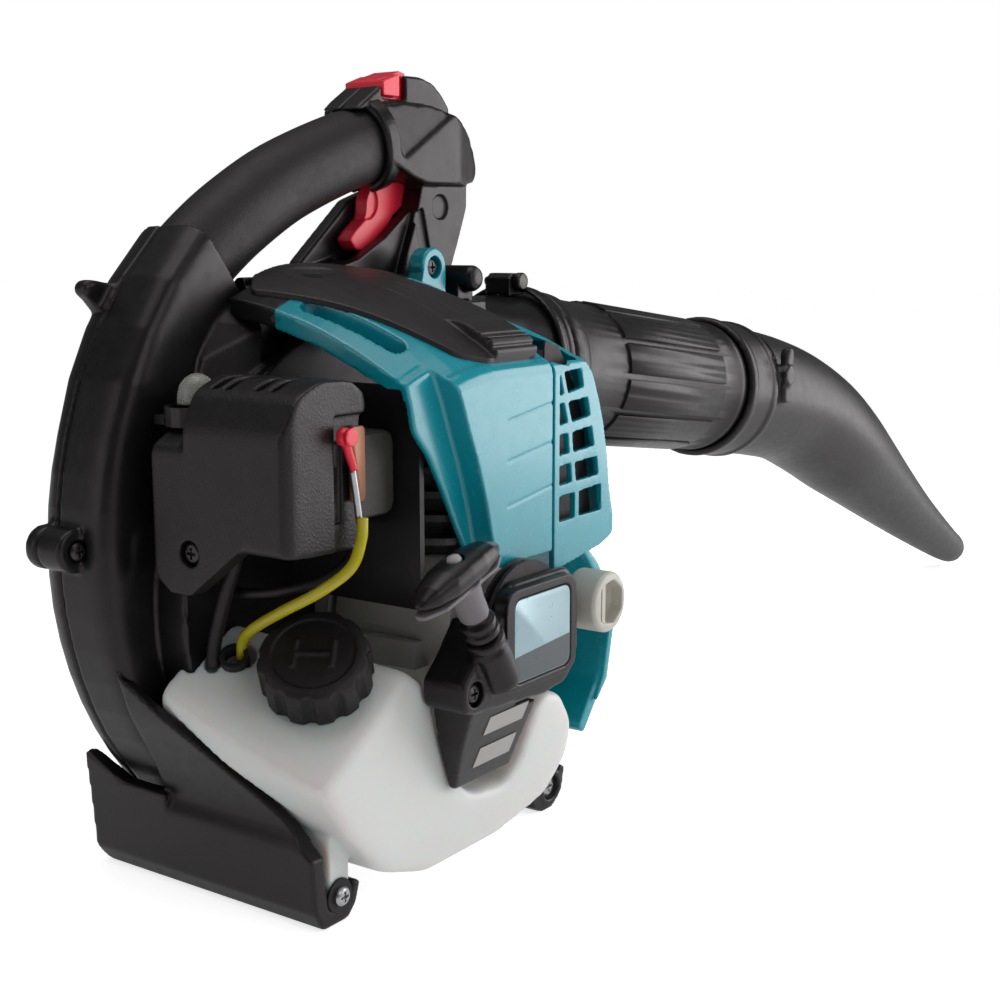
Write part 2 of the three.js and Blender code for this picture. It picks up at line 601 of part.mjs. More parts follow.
function lidAndShroud() {
  const lidPlan = [[46, -36], [62, -22], [122, -22], [136, -118], [130, -127], [84, -127], [76, -120]];
  const lidRoof = roofOutline(-21, -132, 0, 200);
  const lidUnder = roofOutline(-20, -140, 3.2, 150);
  const plan = new THREE.ExtrudeGeometry(outline(lidPlan), { depth: 100, bevelEnabled: false });
  const lid = cut(
    solid(plan.translate(0, 0, 200)).intersect(alongX([...lidRoof, [-132, 200]], 30, 150)),
    alongX([...lidUnder, [-140, 150]], 20, 160),
  );
  const tab = alongX([[-112, 243], [-130, 236], [-131, 231.5], [-124, 233.5], [-112, 239]], 112, 134);
  add("plug_cover", join(lid, tab), BLACK);

  const hump = [
    [-14, 250], [-14, 264], [-17, 266], [-20.5, 266], [-21, 262.5], [-33, 261.5], [-48, 258.5], [-48.3, 250],
  ];
  const shroud = cut(
    alongX(hump, 64, 170),
    alongY(scrollOutline(-GAP), RIGHT_FACE - GAP, LEFT_FACE),
    duct(-GAP),
    boot(-GAP),
    box(120, 180, -60, 0, 262, 300),
  );
  add("top_shroud", cut(shroud, box(20, 180, -46, -16, 240, 256)), BLACK);

  const lug = join(
    bar(vec(COVER_LUG.x, -24, COVER_LUG.z), vec(COVER_LUG.x, -34, COVER_LUG.z), 10),
    alongY([[168, 250], [190, 252], [190, 266], [176, 266], [168, 256]], -34, -26),
  );
  const well = bar(vec(COVER_LUG.x, -36, COVER_LUG.z), vec(COVER_LUG.x, -30, COVER_LUG.z), 5.5);
  const housing = alongY(scrollOutline(-GAP), RIGHT_FACE, LEFT_FACE);
  add("cover_lug", cut(lug, well, duct(-GAP), housing, box(100, 170 + GAP, -34, 0, 200, 300)), TEAL);
  const head = bar(vec(COVER_LUG.x, -33.5, COVER_LUG.z), vec(COVER_LUG.x, -30.3, COVER_LUG.z), 5);
  add("lug_screw", head, STEEL);
}

// ---- air cleaner, carburettor and their controls ----
function intake() {
  const profile = [
    [-20, 160], [26, 158], [26, 214], [30, 215], [27, 223], [20, 228], [2, 228], [-12, 222], [-20, 208],
  ];
  const profileIn = [
    [-17, 163], [40, 161], [40, 212], [23, 222], [18, 225], [3, 225], [-10, 219.5], [-17, 207],
  ];
  const cover = alongY(profile, -117, -43, 3);
  const foot = alongX([[-43, 146], [-52, 139], [-63, 139], [-93, 162], [-93, 170], [-43, 170]], -20, -9);
  const hollow = alongY(profileIn, -114, -62);
  const bulbSeat = bar(vec(2, -49, 203), vec(2, -49, 260), 11.6);
  const housing = alongY(scrollOutline(-GAP), RIGHT_FACE - GAP, LEFT_FACE);
  const slots = [];
  for (const y of [-108, -98, -84, -74]) slots.push(box(4, 24, y - 1.6, y + 1.6, 222, 232));
  const pocket = box(0, 9, -120, -115.5, 172, 205);
  const screwAt = (x) => vec(x, -61, 159.8);
  const screwWell = bar(screwAt(-21), screwAt(-15), 5.5, 5.5, 16);
  const shell = cut(join(cover, foot), hollow, pocket, screwWell, bulbSeat, housing, boot(-GAP), ...slots);
  add("air_cleaner_cover", shell, BLACK);
  add("air_cleaner_screw", bar(screwAt(-18), screwAt(-15.3), 4.8, 4.8, 16), STEEL);
  add("air_filter", box(0, 22, -112, -65, 166, 216), FOAM);
  add("air_cleaner_base", cut(box(26.4, 30, -112, -64, 161, 211), box(20, 34, -96, -84, 178, 190)), DARK);
  const body = join(
    alongY(roundedBox(30.4, 60, 168, 204, 5, 2), -110, -76, 1),
    bar(vec(45, -93, 160), vec(45, -93, 170), 11),
    bar(vec(59, -93, 184), vec(73, -93, 184), 12),
  );
  add("carburettor", body, ALLOY);
  add("control_plate", box(16, 27, -118.7, -117.3, 178, 208), BRONZE);
  const lever = join(
    alongY([[19, 182], [24, 182], [20, 200], [15, 200]], -120.8, -119, 0),
    bar(vec(17, -119, 203), vec(17, -125, 203), 5, 4, 16),
    bar(vec(21.5, -119, 184), vec(21.5, -121.5, 184), 4, 4, 12),
  );
  add("choke_lever", lever, RED);
  const bulbAt = (z) => vec(2, -49, z);
  const holder = join(bar(bulbAt(207), bulbAt(215), 11), box(-4, 8, -50, RIM_RIGHT - GAP, 207, 211));
  const well = bar(bulbAt(209.5), bulbAt(216), 9);
  add("primer_base", cut(holder, boot(-GAP), well), BLACK);
  const dome = [[0, 0], [8.6, 0], [8.6, 4], [7.4, 8.5], [4.4, 11.6], [0, 12.6]];
  add("primer_bulb", turned(dome, bulbAt(215.6), vec(0, 0, 1), 20), WHITE);
}

// ---- fuel system ----
const alongGrommet = (distance) => GROMMET.clone().addScaledVector(CAP_AXIS, distance);
const alongCap = (distance) => CAP_BASE.clone().addScaledVector(CAP_AXIS, distance);

// Everything on the cap's side of the tank's slanted top.
function aboveTank(drop) {
  const block = new THREE.BoxGeometry(400, 400, 200);
  block.translate(0, 0, 100 - drop);
  block.applyMatrix4(turnTo(CAP_AXIS));
  return solid(block.translate(CAP_BASE.x, CAP_BASE.y, CAP_BASE.z));
}

function fuel() {
  const shape = [
    [-20, 92], [-17, 108], [-4, 117], [19, 117], [32, 110], [46, 102], [58, 92], [68, 70], [80, 46],
    [92, 34], [116, 32], [128, 40], [144, 62], [156, 66], [168, 60], [174, 46], [170, 30],
    [152, 15], [112, 8], [56, 9], [28, 16], [6, 40], [-12, 68],
  ];
  const inner = shape.map(([x, z]) => [75 + (x - 75) * 0.93, 58 + (z - 58) * 0.9]);
  const grommetWell = bar(alongGrommet(-4), alongGrommet(20), GROMMET_RADIUS + GAP);
  const behindCradle = [
    [-60, 10], [0, 10], [1.5, 34], [3.5, 42], [-0.5, 54], [-16.5, 85], [-25.5, 112], [-60, 112],
  ];
  const belowSlope = [[-31, 100], [-119, 31], [-140, 31], [-140, 0], [-31, 0]];
  const cradle = alongY(behindCradle, -140, -31).intersect(alongX(belowSlope, -80, 20));
  const body = cut(alongY(shape, TANK.right, TANK.left, 6), aboveTank(0), cradle);
  const vessel = join(body, bar(alongCap(-16), alongCap(12), CAP.neck));
  const filler = bar(alongCap(-28), alongCap(60), CAP.neck - 3);
  const hollow = cut(alongY(inner, TANK.right + 4, TANK.left - 12, 3), aboveTank(6));
  const housing = alongY(scrollOutline(-GAP), RIGHT_FACE - 1, LEFT_FACE);
  add("fuel_tank", cut(vessel, hollow, filler, housing, grommetWell), WHITE);

  const underside = CAP_BASE.clone().addScaledVector(CAP_AXIS, 1);
  const cap = turned(
    [
      [0, CAP.height], [CAP.radius - 2, CAP.height], [CAP.radius, CAP.height - 2], [CAP.radius, 0],
      [CAP.neck + 0.8, 0], [CAP.neck + 0.8, 13], [0, 13],
    ],
    underside, CAP_AXIS, 24,
  );
  const flutes = [];
  const grips = 12;
  for (let i = 0; i < grips; i++) {
    const flute = new THREE.CylinderGeometry(3.2, 3.2, 30, 6);
    flute.rotateX(Math.PI / 2);
    const t = (2 * Math.PI * i) / grips;
    flute.translate((CAP.radius + 1.4) * Math.cos(t), (CAP.radius + 1.4) * Math.sin(t), 12);
    flute.applyMatrix4(turnTo(CAP_AXIS));
    flutes.push(solid(flute.translate(underside.x, underside.y, underside.z)));
  }
  add("fuel_cap", cut(cap, ...flutes), RUBBER);

  const grommet = cut(
    bar(alongGrommet(-4 + GAP), alongGrommet(2.5), GROMMET_RADIUS),
    bar(alongGrommet(-10), alongGrommet(10), 4.4, 4.4, 12),
  );
  add("tank_grommet", grommet, RUBBER);
  const route = [
    [21, -121.5, 172], [20.5, -121.5, 163], [15, -120, 152], [8.5, -109, 142], [6, -91, 132], [7.5, -73, 122],
    [10, -63.5, 114.5], [11, -61, 107.5],
  ];
  add("fuel_line", tube(route, 2.4, 8, 18), LINE);
  const hose = [[0, -72, 157.5], [0, -67, 146], [0, -59, 130], [1, -53, 116], [2, -53, 107.8]];
  add("return_hose", tube(hose, 3, 8, 12), RUBBER);
}

// ---- handle ----
function handle() {
  const triggerRoom = [[150, 270], [150, 318], [164, 324], [196, 330], [222, 330], [222, 298], [196, 270]];
  const triggerSlot = alongY(triggerRoom, -5.4, 5.4);
  const ends = [box(SLEEVE_END, 300, -50, 50, 200, 400), box(-50, 40, -50, 50, 200, 262)];
  add("handle_grip", cut(gripSkin(GRIP_RADIUS), gripSkin(GRIP_RADIUS - 4), triggerSlot, ...ends), RUBBER);

  const head = [
    [168, 350], [180, 352], [205, 352], [224, 347], [236, 340], [244, 330],
    [252, 321], [248, 314], [236, 312], [196, 311], [184, 314], [172, 322],
  ];
  const ear = [
    [150, 346], [157, 351.5], [172, 361], [187, 366], [211, 366.5], [222, 365],
    [230, 360], [236, 354], [236, 338], [180, 344], [164, 348],
  ];
  const pillar = [
    [198, 316], [236, 316], [235, 298], [226, 278], [214, 257], [176, 257], [182, 272], [191, 292],
  ];
  const web = [
    [124, 262], [128, 273], [165, 302], [194, 310], [198, 290], [190, 262], [184, 252], [150, 252],
  ];
  const collar = alongY([[169, 310], [180, 308], [186, 312], [182, 350], [166, 353]], -23, 23, 1);
  const top = join(alongY(head, -22, 22, 3), alongY(ear, -12, 12, 2), collar);
  const outer = join(top, alongY(pillar, -17, 17, 2), alongY(web, 6.5, 15, 1));
  const trimmed = cut(
    outer,
    duct(-GAP),
    alongY(scrollOutline(-GAP), RIGHT_FACE, LEFT_FACE),
    gripSkin(GRIP_RADIUS + GAP).intersect(box(100, SLEEVE_END + GAP, -50, 50, 200, 400)),
  );
  const room = alongY([[194, 318], [228, 318], [234, 324], [224, 336], [206, 344], [194, 342]], -17, 17);
  const shaftRoom = alongY([[202, 320], [230, 320], [228, 300], [211, 262], [186, 262]], -12, 12);
  const switchSlot = box(158, 191, -9, 9, 349, 375);
  const shell = cut(trimmed, room, shaftRoom, triggerSlot, switchSlot);
  add("handle_left", shell.intersect(keep.left), BLACK);
  add("handle_right", shell.intersect(keep.right), BLACK);

  const blade = [
    [173, 310], [194, 312], [202, 322], [213, 322], [214, 308], [211, 303], [200, 299], [191, 291],
    [182, 283], [172, 277], [157, 279], [156, 285], [168, 288], [167, 298],
  ];
  const pin = { x: 207, z: 316 };
  const trigger = cut(
    alongY(blade, -4.7, 4.7, 1),
    bar(vec(pin.x, -10, pin.z), vec(pin.x, 10, pin.z), 2.1, 2.1, 12),
  );
  add("trigger", trigger, RED);
  add("trigger_pin", bar(vec(pin.x, -5.2, pin.z), vec(pin.x, 5.2, pin.z), 1.9, 1.9, 12), STEEL);
  const key = alongY([[162, 352.5], [184, 352.5], [184, 368], [174, 365], [162, 358]], -8.4, 8.4, 1);
  add("stop_switch", key, RED);
}

// ---- pipe and nozzle ----
function pipes() {
  const outer = bar(alongPipe(GAP), alongPipe(PIPE.length), PIPE.radius, PIPE.radius, 24);
  const collar = bar(alongPipe(GAP), alongPipe(14), DUCT.radius + 2, PIPE.radius + 1, 24);
  const pads = [];
  const count = 10;
  for (let i = 0; i < count; i++) {
    const pad = new THREE.BoxGeometry(18, 6, 102);
    const t = (2 * Math.PI * (i + 0.5)) / count;
    pad.translate(0, PIPE.radius - 1.6, 0);
    pad.rotateZ(t);
    pad.applyMatrix4(turnTo(pipeAxis));
    const middle = alongPipe(104);
    pads.push(solid(pad.translate(middle.x, middle.y, middle.z)));
  }
  const boreRadius = PIPE.radius - PIPE.wall;
  const inner = bar(alongPipe(-20), alongPipe(PIPE.length + 1), boreRadius, boreRadius, 24);
  const bead = bar(alongPipe(176), alongPipe(181), PIPE.radius + 1, PIPE.radius + 1, 24);
  add("blower_pipe", cut(join(outer, collar, bead, ...pads), inner), BLACK);
}

function nozzle() {
  const flat = vec(Math.cos(rad(PIPE.yaw)), Math.sin(rad(PIPE.yaw)), 0);
  // distance ahead of the pipe's start, height, radius
  const stations = [
    [190, 187.5, 44], [214, 184.3, 44], [222, 183, 42.5], [258, 177, 42], [301, 166.5, 40.8],
    [345, 148.8, 40], [384, 128.5, 37.5], [418, 110, 33.5],
    [468, 82.5, 27.4], [519, 55.5, 21.6], [578, 26.5, 15.8],
    [600, 16.8, 13.6], [607, 13.8, 12],
  ];
  const skin = (shrink, list) => {
    const centres = list.map(([s, z]) => vec(DUCT.x, DUCT.y, 0).addScaledVector(flat, s).setZ(z));
    return loft(
      list.map(([, , r], i) => {
        const ahead = centres[Math.min(i + 1, list.length - 1)].clone();
        const upward = ahead.sub(centres[Math.max(i - 1, 0)]).cross(pipeSide).normalize();
        return ring(centres[i], pipeSide, upward, r - shrink, r - shrink, 2, 20);
      }),
    );
  };
  const first = stations[0];
  const last = stations[stations.length - 1];
  const ext = [[first[0] - 6, first[1] + 0.8, first[2]], ...stations, [last[0] + 9, last[1] - 4, last[2]]];
  const outer = skin(0, stations);
  const inner = skin(2.6, ext);
  add("nozzle", cut(outer, inner), BLACK);
}

function clamps() {
  const band = cut(
    bar(alongPipe(-15), alongPipe(-3), DUCT.radius + 3.2, DUCT.radius + 3.2, 28),
    bar(alongPipe(-16), alongPipe(0), DUCT.radius + 1.2, DUCT.radius + 1.2, 28),
  );
  const boltAt = (y) => vec(250, y, 262);
  const ears = box(243, 257, -40, -24, 254, 266.5);
  const made = cut(join(band, ears), duct(-GAP * 2), bar(boltAt(-50), boltAt(0), 2.7, 2.7, 12));
  add("pipe_clamp", made, BLACK);
  const bolt = join(bar(boltAt(-45), boltAt(-20), 2.3, 2.3, 12), bar(boltAt(-45), boltAt(-40.5), 4.2));
  add("clamp_bolt", bolt, STEEL);
  const boss = join(bar(vec(207, -45, 263), vec(207, -18, 263), 6.8), box(200.2, 213.8, -37, -20, 246, 263));
  const housing = alongY(scrollOutline(-GAP), RIGHT_FACE, LEFT_FACE);
  add("strap_boss", cut(boss, duct(-GAP), housing, box(100, 300, -17 - GAP, 17, 250, 320)), BLACK);
}

// ---- oil cap and screws ----
function fittings() {
  const at = (y) => vec(157, y, 115);
  const neck = join(bar(at(-139), at(-122), 9.5), box(142, 168, -126, -122, 104, 126));
  add("oil_filler", cut(neck, bar(at(-141), at(-127), 6)), BONE);
  const knob = cut(
    join(bar(at(-147), at(-139.4), 14.5, 13), alongY(roundedBox(143.5, 170.5, 107, 123, 7), -158, -146, 2)),
    alongY(roundedBox(148, 166, 110.5, 119.5, 4), -159, -151),
  );
  add("oil_cap", knob, BONE);
  // each screw head's middle: x, z, the y of its seat, its height and radius
  const screws = [
    ["starter_screw", STARTER_SCREW.x, STARTER_SCREW.z, STARTER_FACE + 4.7, 3.2, 5],
    ["rear_lug_screw", REAR_LUG.x - 3.6, REAR_LUG.z, -15.3, 2.2, 3.8],
    ["rear_foot_screw", 10, 11, FOOT_RIGHT - GAP, 3.7, 6.5],
    ["front_foot_screw", 172, 10, FOOT_RIGHT - GAP, 3.7, 6.5],
  ];
  for (const [name, x, z, seat, height, radius] of screws)
    add(name, bar(vec(x, seat, z), vec(x, seat - height, z), radius, radius * 0.9, 16), STEEL);
}

fanHousing();
feet();
rotor();
engine();
starter();
engineCover();
grille();
lidAndShroud();
intake();
fuel();
handle();
pipes();
nozzle();
clamps();
fittings();

// The middle of the box stands on the origin.
const whole = new THREE.Box3().setFromObject(group);
const middle = whole.getCenter(vec(0, 0, 0));
group.position.set(-middle.x, -middle.y, -whole.min.z);
group.updateMatrixWorld(true);

export default group;
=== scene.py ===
"""Looks for a hand-held petrol leaf blower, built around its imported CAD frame.

Shapes are made in millimetres, in the frame the blower was drawn in: +X forward to the nozzle,
+Y to the air intake, +Z up, Y = 0 on the handle's split line and Z = 0 under the feet.
place() then moves each piece to the row frame, in metres.
"""

import json
import math

import bmesh
import bpy
from mathutils import Matrix, Vector


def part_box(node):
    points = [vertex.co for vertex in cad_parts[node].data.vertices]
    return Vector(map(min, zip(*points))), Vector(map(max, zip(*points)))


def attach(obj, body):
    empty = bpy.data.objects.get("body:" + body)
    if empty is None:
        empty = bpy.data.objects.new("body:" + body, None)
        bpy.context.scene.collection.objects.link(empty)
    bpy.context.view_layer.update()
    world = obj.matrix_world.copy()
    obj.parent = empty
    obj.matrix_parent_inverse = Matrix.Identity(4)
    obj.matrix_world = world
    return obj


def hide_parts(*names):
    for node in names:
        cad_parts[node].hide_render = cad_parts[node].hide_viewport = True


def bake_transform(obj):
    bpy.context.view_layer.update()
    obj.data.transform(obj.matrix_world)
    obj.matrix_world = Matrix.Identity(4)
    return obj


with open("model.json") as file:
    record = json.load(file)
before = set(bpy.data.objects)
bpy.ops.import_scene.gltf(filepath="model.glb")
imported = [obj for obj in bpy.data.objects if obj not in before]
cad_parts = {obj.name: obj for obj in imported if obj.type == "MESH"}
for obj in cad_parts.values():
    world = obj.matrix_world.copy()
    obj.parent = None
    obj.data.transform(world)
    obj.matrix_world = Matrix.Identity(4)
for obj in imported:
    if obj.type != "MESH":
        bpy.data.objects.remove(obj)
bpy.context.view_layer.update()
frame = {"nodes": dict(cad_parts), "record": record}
scene = bpy.context.scene

# ---- driving sizes, in millimetres ----
REAR_FOOT = {"x": -34, "y": -115}  # lowest corner of the rear foot
CRANK = (108, 112)
SCROLL = {"start": 96, "growth": 42, "power": 1.9}
LEFT_FACE, RIGHT_FACE = 22, -48
WALL = 3
SPLIT = 0.12  # half the gap between two moulded halves
CLEARANCE = 0.4  # gap between a piece and the housing it is fitted to
RIM = {"x": 143, "z": 150, "radius": 177, "right": 30, "left": 21}
REAR_LUG = (-36, 155)
EYE_RADIUS = 56
DUCT = {"x": 262, "y": -32, "z": 213, "radius": 41}
PIPE = {"yaw": -5, "pitch": -7.6, "length": 208, "radius": 40.5}
GRIP_RADIUS = 19.5
COVER_FACE = -138
STARTER_FACE = -150
CAP_BASE = Vector((22, -95, 99))
CAP_AXIS = Vector((-0.52, -0.335, 0.785)).normalized()
PULL_AXIS = Vector((-0.52, 0, 0.854)).normalized()
ROPE_EXIT = Vector((66, -151, 114))
GROMMET = Vector((11, -61, 106.6))
CAP_RADIUS = 24
COVER_LUG = (184, 269)
STARTER_SCREW = (60, 93)
# The view that a separate program fitted.
CAMERA = {"place": (-441.3, -513.1, 282.4), "yaw": 35, "pitch": -9.7, "lens": 54.6}

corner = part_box("rear_foot")[0]
ORIGIN = Vector((corner.x - REAR_FOOT["x"] / 1000, corner.y - REAR_FOOT["y"] / 1000, corner.z))
TO_ROW = Matrix.Translation(ORIGIN) @ Matrix.Scale(0.001, 4)
COARSE = 1.0  # voxel factor while trying things

X, Y, Z = Vector((1, 0, 0)), Vector((0, 1, 0)), Vector((0, 0, 1))


def v(x, y, z):
    return Vector((x, y, z))


# ---- outlines ----
def fillet(points, radius, steps=6):
    """Rounds the corners of a closed outline. radius is one number, or one for each corner."""
    out = []
    count = len(points)
    for i, point in enumerate(points):
        here, before, after = Vector(point), Vector(points[i - 1]), Vector(points[(i + 1) % count])
        a, b = before - here, after - here
        size = radius[i] if isinstance(radius, (list, tuple)) else radius
        half = max(a.angle(b) / 2, 0.02)
        reach = min(size / math.tan(half), 0.48 * a.length, 0.48 * b.length)
        if reach < 0.05:
            out.append(here)
            continue
        start, end = here + a.normalized() * reach, here + b.normalized() * reach
        for k in range(steps + 1):
            t = k / steps
            out.append((1 - t) ** 2 * start + 2 * t * (1 - t) * here + t * t * end)
    return out


def curve(points, steps=8):
    """A smooth line through the points, each a tuple of any size."""
    path = [Vector(p) for p in points]
    path = [2 * path[0] - path[1]] + path + [2 * path[-1] - path[-2]]
    out = []
    for i in range(1, len(path) - 2):
        p0, p1, p2, p3 = path[i - 1 : i + 3]
        for k in range(steps):
            t = k / steps
            out.append(
                0.5
                * (
                    2 * p1
                    + (p2 - p0) * t
                    + (2 * p0 - 5 * p1 + 4 * p2 - p3) * t * t
                    + (3 * p1 - p0 - 3 * p2 + p3) * t**3
                )
            )
    out.append(path[-2])
    return out


def rounded_box(a0, a1, b0, b1, radius):
    return fillet([(a0, b0), (a1, b0), (a1, b1), (a0, b1)], radius)


def scroll_outline(inset):
    points = []
    for degrees in range(0, 271, 3):
        radius = SCROLL["start"] + SCROLL["growth"] * (degrees / 270) ** SCROLL["power"] - inset
        turn = math.radians(degrees)
        points.append((CRANK[0] + radius * math.cos(turn), CRANK[1] - radius * math.sin(turn)))
    top = points[-1][1]
    mouth = CRANK[0] + SCROLL["start"] + 6
    return points + [(mouth, top + 1.5), (mouth, CRANK[1] + 52 + inset)]


def ring(centre, along, across, a, b, power=2.0, sides=56):
    points = []
    for i in range(sides):
        t = 2 * math.pi * i / sides
        c, s = math.cos(t), math.sin(t)
        u = math.copysign(abs(c) ** (2 / power), c) * a
        w = math.copysign(abs(s) ** (2 / power), s) * b
        points.append(centre + along * u + across * w)
    return points


# ---- solids ----
def solid(points, faces):
    mesh = bpy.data.meshes.new("part")
    mesh.from_pydata([tuple(p) for p in points], [], faces)
    work = bmesh.new()
    work.from_mesh(mesh)
    bmesh.ops.recalc_face_normals(work, faces=work.faces)
    work.to_mesh(mesh)
    work.free()
    made = bpy.data.objects.new("part", mesh)
    scene.collection.objects.link(made)
    return made


def prism(outline, axis, low, high):
    place_of = {
        "X": lambda a, b, h: (h, a, b),
        "Y": lambda a, b, h: (a, h, b),
        "Z": lambda a, b, h: (a, b, h),
    }[axis]
    n = len(outline)
    points = [place_of(p[0], p[1], h) for h in (low, high) for p in outline]
    faces = [list(range(n)), list(range(2 * n - 1, n - 1, -1))]
    faces += [[i, (i + 1) % n, n + (i + 1) % n, n + i] for i in range(n)]
    return solid(points, faces)


def loft(rings):
    n = len(rings[0])
    points = [p for one in rings for p in one]
    faces = []
    for r in range(len(rings) - 1):
        for i in range(n):
            j = (i + 1) % n
            faces.append([r * n + i, r * n + j, (r + 1) * n + j, (r + 1) * n + i])
    last = (len(rings) - 1) * n
    faces.append(list(range(n)))
    faces.append(list(range(last + n - 1, last - 1, -1)))
    return solid(points, faces)


def frame_of(axis):
    """Two directions across an axis."""
    side = axis.cross(Z if abs(axis.z) < 0.9 else X).normalized()
    return side, axis.cross(side).normalized()


def turned(profile, origin, axis, sides=64):
    """A turned piece: profile points are (radius, distance along the axis), with flat ends."""
    axis = axis.normalized()
    a, b = frame_of(axis)
    return loft([ring(origin + axis * h, a, b, r, r, 2, sides) for r, h in profile])


def bar(start, end, radius, radius_end=None, sides=40):
    length = (end - start).length
    last = radius if radius_end is None else radius_end
    return turned([(radius, 0), (last, length)], start, end - start, sides)


def box(x0, x1, y0, y1, z0, z1):
    return prism([(x0, y0), (x1, y0), (x1, y1), (x0, y1)], "Z", z0, z1)


def tube(points, radius, steps=10, sides=20):
    path = curve(points, steps)
    side = frame_of((path[1] - path[0]).normalized())[0]
    rings = []
    for i, here in enumerate(path):
        ahead = path[min(i + 1, len(path) - 1)]
        behind = path[max(i - 1, 0)]
        along = (ahead - behind).normalized()
        side = (side - along * side.dot(along)).normalized()
        rings.append(ring(here, side, along.cross(side), radius, radius, 2, sides))
    return loft(rings)


def bake(piece):
    graph = bpy.context.evaluated_depsgraph_get()
    mesh = bpy.data.meshes.new_from_object(piece.evaluated_get(graph))
    piece.modifiers.clear()
    piece.data = mesh
    return piece


def modify(piece, kind, **settings):
    modifier = piece.modifiers.new(kind, kind)
    for key, value in settings.items():
        setattr(modifier, key, value)
    return piece


def combine(first, others, operation):
    for other in others:
        modify(first, "BOOLEAN", operation=operation, object=other, solver="MANIFOLD")
        bake(first)
        bpy.data.objects.remove(other)
    return first


def join(first, *others):
    return combine(first, others, "UNION")


def cut(first, *others):
    return combine(first, others, "DIFFERENCE")


def common(first, *others):
    return combine(first, others, "INTERSECT")


def copy(piece):
    made = bpy.data.objects.new("part", piece.data.copy())
    scene.collection.objects.link(made)
    return made


def soften(piece, voxel, passes=3, keep=1.0):
    """Rounds every edge of a moulded piece a little, as its mould does."""
    modify(piece, "REMESH", mode="VOXEL", voxel_size=voxel * COARSE)
    modify(piece, "SMOOTH", factor=0.5, iterations=passes)
    if keep < 1:
        modify(piece, "DECIMATE", ratio=keep)
    return bake(piece)


def bevel(piece, width, segments=3, angle=28):
    modify(
        piece,
        "BEVEL",
        width=width,
        segments=segments,
        limit_method="ANGLE",
        angle_limit=math.radians(angle),
        harden_normals=True,
    )
    return bake(piece)


# ---- materials ----
def node(tree, kind, settings=None, **inputs):
    made = tree.nodes.new(kind)
    for key, value in (settings or {}).items():
        setattr(made, key, value)
    for key, value in inputs.items():
        name = key.replace("_", " ")
        if hasattr(value, "links"):
            tree.links.new(value, made.inputs[name])
        else:
            made.inputs[name].default_value = value
    return made


def material(name, colour, rough, grain=0.0, grain_size=1400.0, blotch=0.12, wear_and_sheen=0.15, **surface):
    """A moulded or cast surface: tone that drifts, uneven gloss, fine grain, and convex edges made paler,
    partly as wear and partly as a painted edge highlight.
    """
    made = bpy.data.materials.new(name)
    made.use_nodes = True
    tree = made.node_tree
    shader = tree.nodes["Principled BSDF"]
    place_node = node(tree, "ShaderNodeTexCoord")
    where = place_node.outputs["Object"]
    drift = node(tree, "ShaderNodeTexNoise", Vector=where, Scale=22.0, Detail=5.0, Roughness=0.6)
    patches = node(tree, "ShaderNodeTexNoise", Vector=where, Scale=160.0, Detail=6.0, Roughness=0.65)
    fine = node(tree, "ShaderNodeTexNoise", Vector=where, Scale=grain_size, Detail=2.0, Roughness=0.5)

    dark = [c * (1 - blotch) for c in colour[:3]] + [1]
    pale = [min(1, c * (1 + blotch) + 0.002) for c in colour[:3]] + [1]
    tone = node(tree, "ShaderNodeMix", {"data_type": "RGBA"})
    tree.links.new(drift.outputs["Fac"], tone.inputs[0])
    tone.inputs[6].default_value = dark
    tone.inputs[7].default_value = pale

    # Convex edges made paler by pointiness: partly wear, partly a painted edge highlight.
    edges = node(tree, "ShaderNodeNewGeometry")
    wear_and_sheen_mask = node(tree, "ShaderNodeMapRange", Value=edges.outputs["Pointiness"])
    wear_and_sheen_mask.inputs["From Min"].default_value = 0.52
    wear_and_sheen_mask.inputs["From Max"].default_value = 0.62
    wear_and_sheen_mask.inputs["To Max"].default_value = wear_and_sheen
    wear_and_sheen_tint = node(tree, "ShaderNodeMix", {"data_type": "RGBA"})
    tree.links.new(wear_and_sheen_mask.outputs["Result"], wear_and_sheen_tint.inputs[0])
    tree.links.new(tone.outputs[2], wear_and_sheen_tint.inputs[6])
    wear_and_sheen_tint.inputs[7].default_value = [min(1, c * 1.6 + 0.05) for c in colour[:3]] + [1]
    tree.links.new(wear_and_sheen_tint.outputs[2], shader.inputs["Base Color"])

    gloss = node(tree, "ShaderNodeMapRange", Value=patches.outputs["Fac"])
    gloss.inputs["From Min"].default_value = 0.25
    gloss.inputs["From Max"].default_value = 0.75
    gloss.inputs["To Min"].default_value = max(0.02, rough - 0.06)
    gloss.inputs["To Max"].default_value = min(1, rough + 0.08)
    tree.links.new(gloss.outputs["Result"], shader.inputs["Roughness"])

    if grain:
        bump = node(tree, "ShaderNodeBump", Strength=grain, Distance=0.0003, Height=fine.outputs["Fac"])
        tree.links.new(bump.outputs["Normal"], shader.inputs["Normal"])
    for key, value in surface.items():
        shader.inputs[key.replace("_", " ")].default_value = value
    return made


def moulded(name, tone, rough, **settings):
    """Black or grey nylon: a hint of warmth, and less shine than a polished face."""
    colour = (tone, tone * 0.93, tone * 0.98)
    return material(name, colour, rough, Specular_IOR_Level=0.36, Specular_Tint=(1, 0.90, 0.94, 1),
        **settings)


